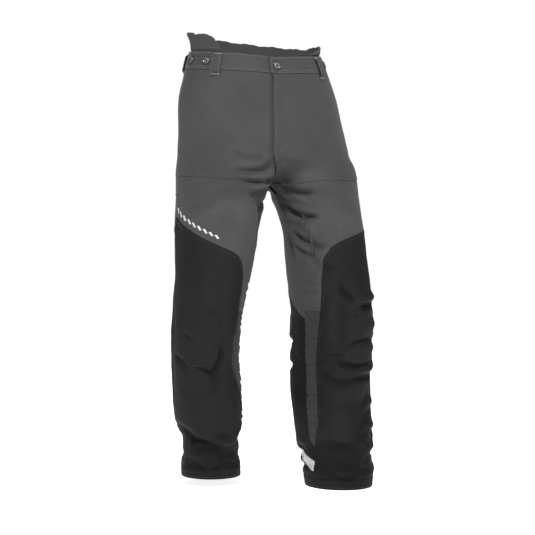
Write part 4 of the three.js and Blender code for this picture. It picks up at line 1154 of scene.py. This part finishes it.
seam_gap = 0.5 * FRONT_ROUND
bands = [
    panel("waistband_right", RIGHT, GREY, -BAND_UNDERLAP * FRONT_ROUND, OUTSEAM - seam_gap, 0,
          BAND_HEIGHT, depth=right_band_depth,
          thickness=3.4, raise_by=band_crown, cell=CELL * 0.6),
    panel("waistband_left", LEFT, GREY, -OVERLAP_END, OUTSEAM - seam_gap, 0, BAND_HEIGHT,
          thickness=BAND_THICKNESS, raise_by=band_crown, cell=CELL * 0.6),
    panel("waistband_back", LEFT, GREY, OUTSEAM + seam_gap, 2 - OUTSEAM - seam_gap, 0, BAND_HEIGHT,
          thickness=BAND_THICKNESS, raise_by=band_crown, cell=CELL * 0.6)]
band_rows = []
for drop_line in (3.2, 34.5, 39.2):
    band_rows.append(stitch_row(RIGHT, edge_line(drop_line, OVERLAP_END + 3 * FRONT_ROUND,
                                                 OUTSEAM - 0.004, 0), -0.1, pitch=3.8))
    band_rows.append(stitch_row(LEFT, edge_line(drop_line, -OVERLAP_END + 0.004, OUTSEAM - 0.004, 0),
                                -0.1, pitch=3.8))
    band_rows.append(stitch_row(LEFT, edge_line(drop_line, OUTSEAM + 0.004, 1.5 - 0.004, 0, 160), -0.1,
                                pitch=3.8))
band_rows.append(stitch_row(LEFT, side_line(-OVERLAP_END, 3, 39, 2.4), -0.45, pitch=3.8))
band_rows.append(stitch_row(LEFT, side_line(OUTSEAM, 3, 39, 2.4), -0.4, pitch=3.8))
band_rows.append(stitch_row(RIGHT, side_line(OUTSEAM, 3, 39, 2.4), -0.4, pitch=3.8))
band_stitches = threads("waistband_stitching", band_rows, PALE_THREAD)
for made, node in zip(bands, ("waistband_right", "waistband_left", "waistband_back")):
    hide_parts(node)
    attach(made, "hips")
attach(band_stitches, "hips")


# The raised back is grey cloth outside and knit inside, with a gathered edge that waves.
RAISED_TOP = [(0.13, -3), (0.22, -5), (0.28, -9), (0.34, -16), (0.40, -22), (0.46, -25), (0.53, -23),
              (0.62, -18), (0.75, -21), (0.88, -26), (1.0, -31),
              (1.2, -38), (1.4, -41), (1.5, -45), (1.56, -39), (1.62, -42), (1.66, -41), (1.69, -33),
              (1.71, -20), (1.73, -7)]


def raised_top(at):
    return curve(RAISED_TOP, at) - 1.2 * np.sin(at * 48) - 0.5 * np.sin(at * 131 + 1)


def raised_waves(at, drop):
    up = np.clip(-drop / 40, 0, 1)
    gathers = up * (1.5 * np.sin(at * 48 + 0.6) + 0.6 * np.sin(at * 131)) + 0.22 * np.sin(at * 640) * (1
            - 0.5 * up)
    flare = 6.0 * up * up * smooth((at - 1.40) / 0.25) + 9.0 * up ** 3 * np.exp(-((at - 1.5)
            / 0.07) ** 2) + 2.0 * up * up
    lean = 2.0 + 1.8 * smooth((0.5 - at) / 0.2)
    return gathers + flare + lean * smooth(-drop / 7.0) - 0.5 * np.exp(-((drop + raised_top(at) * -1 - 6)
            / 1.5) ** 2)


raised = panel("raised_back", LEFT, GREY, 0.13, 1.73, raised_top, 34, depth=4.5, thickness=1.6,
               raise_by=raised_waves, cell=CELL * 0.5, backing=KNIT)
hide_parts("raised_back")
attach(raised, "hips")


# ------------------------------------------------------------------ belt loops
def loop_stand(drop):
    share = (drop - 1) / 57
    return 0.3 + 6.2 * smooth(np.minimum(share, 1 - share) / (8 / 58) - 0.6)


LOOPS = {"belt_loop_front_right": (RIGHT, 0.28), "belt_loop_front_left": (LEFT, 0.26),
         "belt_loop_side_right": (RIGHT, 0.64),
         "belt_loop_side_left": (LEFT, 0.64), "belt_loop_back": (LEFT, 1.0)}
for name, (side, at) in LOOPS.items():
    ends = one_side(side, np.array(at + 0.002), np.array(42.0)) - one_side(side, np.array(at - 0.002),
            np.array(42.0))
    half = 12 * 0.004 / float(np.linalg.norm(ends))

    def loop_crown(a, drop, at=at, half=half):
        edge = np.clip(np.abs(a - at) / half, 0, 1)
        tacked = np.exp(-((drop - 5) / 2.6) ** 2) + np.exp(-((drop - 53) / 2.6) ** 2)
        return 0.35 * (1 - edge ** 4) - 0.35 * np.exp(-((edge - 0.78) / 0.07) ** 2) - 0.35 * tacked

    made = panel(name, side, GREY, at - half, at + half, 1, 58, depth=lambda a, drop: -loop_stand(drop)
                 - 1.4, thickness=1.4,
                 raise_by=loop_crown, cell=1.8)
    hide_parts(name)
    made_rows = []
    for shift in (-0.78, 0.78):
        centre = np.linspace(4.5, 54.5, 14)
        a0 = np.full(14, at + shift * half)
        start = layer_point(side, a0, centre - 1.3, -loop_stand(centre - 1.3) - 1.45)
        end = layer_point(side, a0, centre + 1.3, -loop_stand(centre + 1.3) - 1.45)
        out = outward(side, a0, centre)
        along = (end - start) / np.linalg.norm(end - start, axis=-1, keepdims=True)
        made_rows.append(capsules(start, end, out, np.cross(along, out), 0.3))
    for drop_line in (5.0, 53.0):
        across_at = np.linspace(at - half * 0.84, at + half * 0.84, 21)
        low = layer_point(side, across_at, np.full(21, drop_line - 1.3),
                          -loop_stand(np.full(21, drop_line)) - 1.5)
        high = layer_point(side, across_at, np.full(21, drop_line + 1.3),
                           -loop_stand(np.full(21, drop_line)) - 1.5)
        out = outward(side, across_at, np.full(21, drop_line))
        along = (high - low) / np.linalg.norm(high - low, axis=-1, keepdims=True)
        made_rows.append(capsules(low, high, out, np.cross(along, out), 0.42))
    stitches = threads(name + "_stitching", made_rows, PALE_THREAD)
    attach(made, "hips")
    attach(stitches, "hips")


# ------------------------------------------------------------------ buttons
def button(name, side, at, drop, reach, radius=10.5):
    """A turned button with a raised rim, a dished middle and a shank."""
    profile = [(0.01, -reach), (2.9, -reach), (3.0, 1.4), (radius - 1.6, 1.4), (radius - 0.5, 1.75),
               (radius, 2.4), (radius - 0.15, 3.1),
               (radius - 0.7, 3.65), (radius - 1.5, 3.8), (radius - 2.4, 3.6), (radius - 3.2, 2.9),
               (radius - 4.2, 2.6), (radius - 5.0, 2.7),
               (4.6, 3.2), (4.1, 3.4), (3.4, 3.3), (2.8, 2.5), (2.0, 1.8), (0.01, 1.7)]
    turns = 48
    angle = np.arange(turns) * 2 * math.pi / turns
    centre = one_side(side, np.array(at), np.array(float(drop)))
    out = one_side_outward(side, np.array(at), np.array(float(drop)))
    up = one_side(side, np.array(at), np.array(drop - 1.0)) - one_side(side, np.array(at),
            np.array(drop + 1.0))
    along = np.cross(up / np.linalg.norm(up), out)
    along /= np.linalg.norm(along)
    upright = np.cross(out, along)
    vertices = np.concatenate([centre + out * h + r
                               * (np.cos(angle)[:, None] * along + np.sin(angle)[:, None] * upright)
                               for r, h in profile])
    faces = [(i * turns + k, i * turns + (k + 1) % turns, (i + 1) * turns + (k + 1) % turns,
              (i + 1) * turns + k)
             for i in range(len(profile) - 1) for k in range(turns)]
    made = piece(name, vertices, np.array(faces), HORN)
    # The faces of the raised inner ring take the paler material, which is a painted highlight.
    made.data.materials.append(RING_HIGHLIGHT)
    ring = np.zeros(len(faces), np.int32)
    ring[11 * turns:14 * turns] = 1
    made.data.polygons.foreach_set("material_index", ring)
    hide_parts(name)
    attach(made, "hips")
    return made


button("waist_button", LEFT, 0.0, BUTTON_DROP, 3.9)
for name, at in (("brace_button_front", 0.34), ("brace_button_side", 0.47), ("brace_button_back", 0.92)):
    for word, side in SIDES.items():
        button(name + "_" + word, side, at, BUTTON_DROP, -0.3)

# ------------------------------------------------------------------ studio
floor_height = min(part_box("hem_left")[0].z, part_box("hem_right")[0].z)
bpy.ops.mesh.primitive_plane_add(size=60, location=(0, 0, floor_height - 0.0005))
floor = bpy.context.object
floor.name = "studio_floor"
floor.data.materials.append(matt_floor())
floor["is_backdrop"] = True

world = bpy.data.worlds.new("studio")
bpy.context.scene.world = world
world.use_nodes = True
backdrop = world.node_tree.nodes["Background"]
backdrop.inputs["Color"].default_value = (1.0, 1.0, 1.0, 1)
sky = Nodes(world.node_tree)
seen = sky.add("ShaderNodeLightPath")["Is Camera Ray"]
glow = sky.add("ShaderNodeMapRange", None, {"Value": seen, "To Min": 0.19, "To Max": 1.0})["Result"]
sky.feed(backdrop.inputs["Strength"], glow)


def soft_light(name, place, aim, size, power):
    data = bpy.data.lights.new(name, "AREA")
    data.shape, data.size, data.energy = "DISK", size, power
    made = bpy.data.objects.new(name, data)
    bpy.context.scene.collection.objects.link(made)
    made.location = place
    made.rotation_euler = (Vector(aim) - Vector(place)).to_track_quat("-Z", "Y").to_euler()


middle = Vector((0.05, 0, -0.55))
soft_light("key_softbox", (-1.1, -2.7, 2.5), middle, 0.9, 215)
soft_light("fill_softbox", (2.6, -1.9, 0.9), middle, 1.2, 14)
soft_light("back_softbox", (0.4, 2.8, 1.2), middle, 1.4, 30)

bpy.context.scene.view_settings.view_transform = "Standard"
turn, tilt, reach = math.radians(-24), math.radians(2), 4.0
target = Vector((0.042, 0, -0.527))
lens = bpy.data.cameras.new("camera")
lens.lens, lens.sensor_width = 104.7, 36
camera = bpy.data.objects.new("camera", lens)
camera.location = target + reach * Vector((math.sin(turn) * math.cos(tilt), -math.cos(turn)
                                           * math.cos(tilt), math.sin(tilt)))
camera.rotation_euler = (target - camera.location).to_track_quat("-Z", "Y").to_euler()
bpy.context.scene.collection.objects.link(camera)
bpy.context.scene.camera = camera

HANGS_FROM = {"front": "waistband", "seat": "waistband", "thigh_front": "front", "thigh_back": "seat",
              "front_guard": "thigh_front",
              "inner_strip": "thigh_front", "calf_back": "thigh_back", "hem": "front_guard",
              "reflective_tape": "calf_back",
              "thigh_lining": "front", "shin_lining": "thigh_lining", "pocket_bag": "front"}
hanging = [(kind + "_" + word, above + "_" + word, "hung") for kind, above in HANGS_FROM.items()
           for word in SIDES]
hanging += [("fly_facing", "front_left", "hung"), ("fly_shield", "front_right", "hung"),
            ("raised_back", "waistband_back", "gathered")]

as_lists = lambda pair: [[float(v) for v in corner] for corner in pair]
{"cad": as_lists(cad_bounds), "visual": as_lists(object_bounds())}
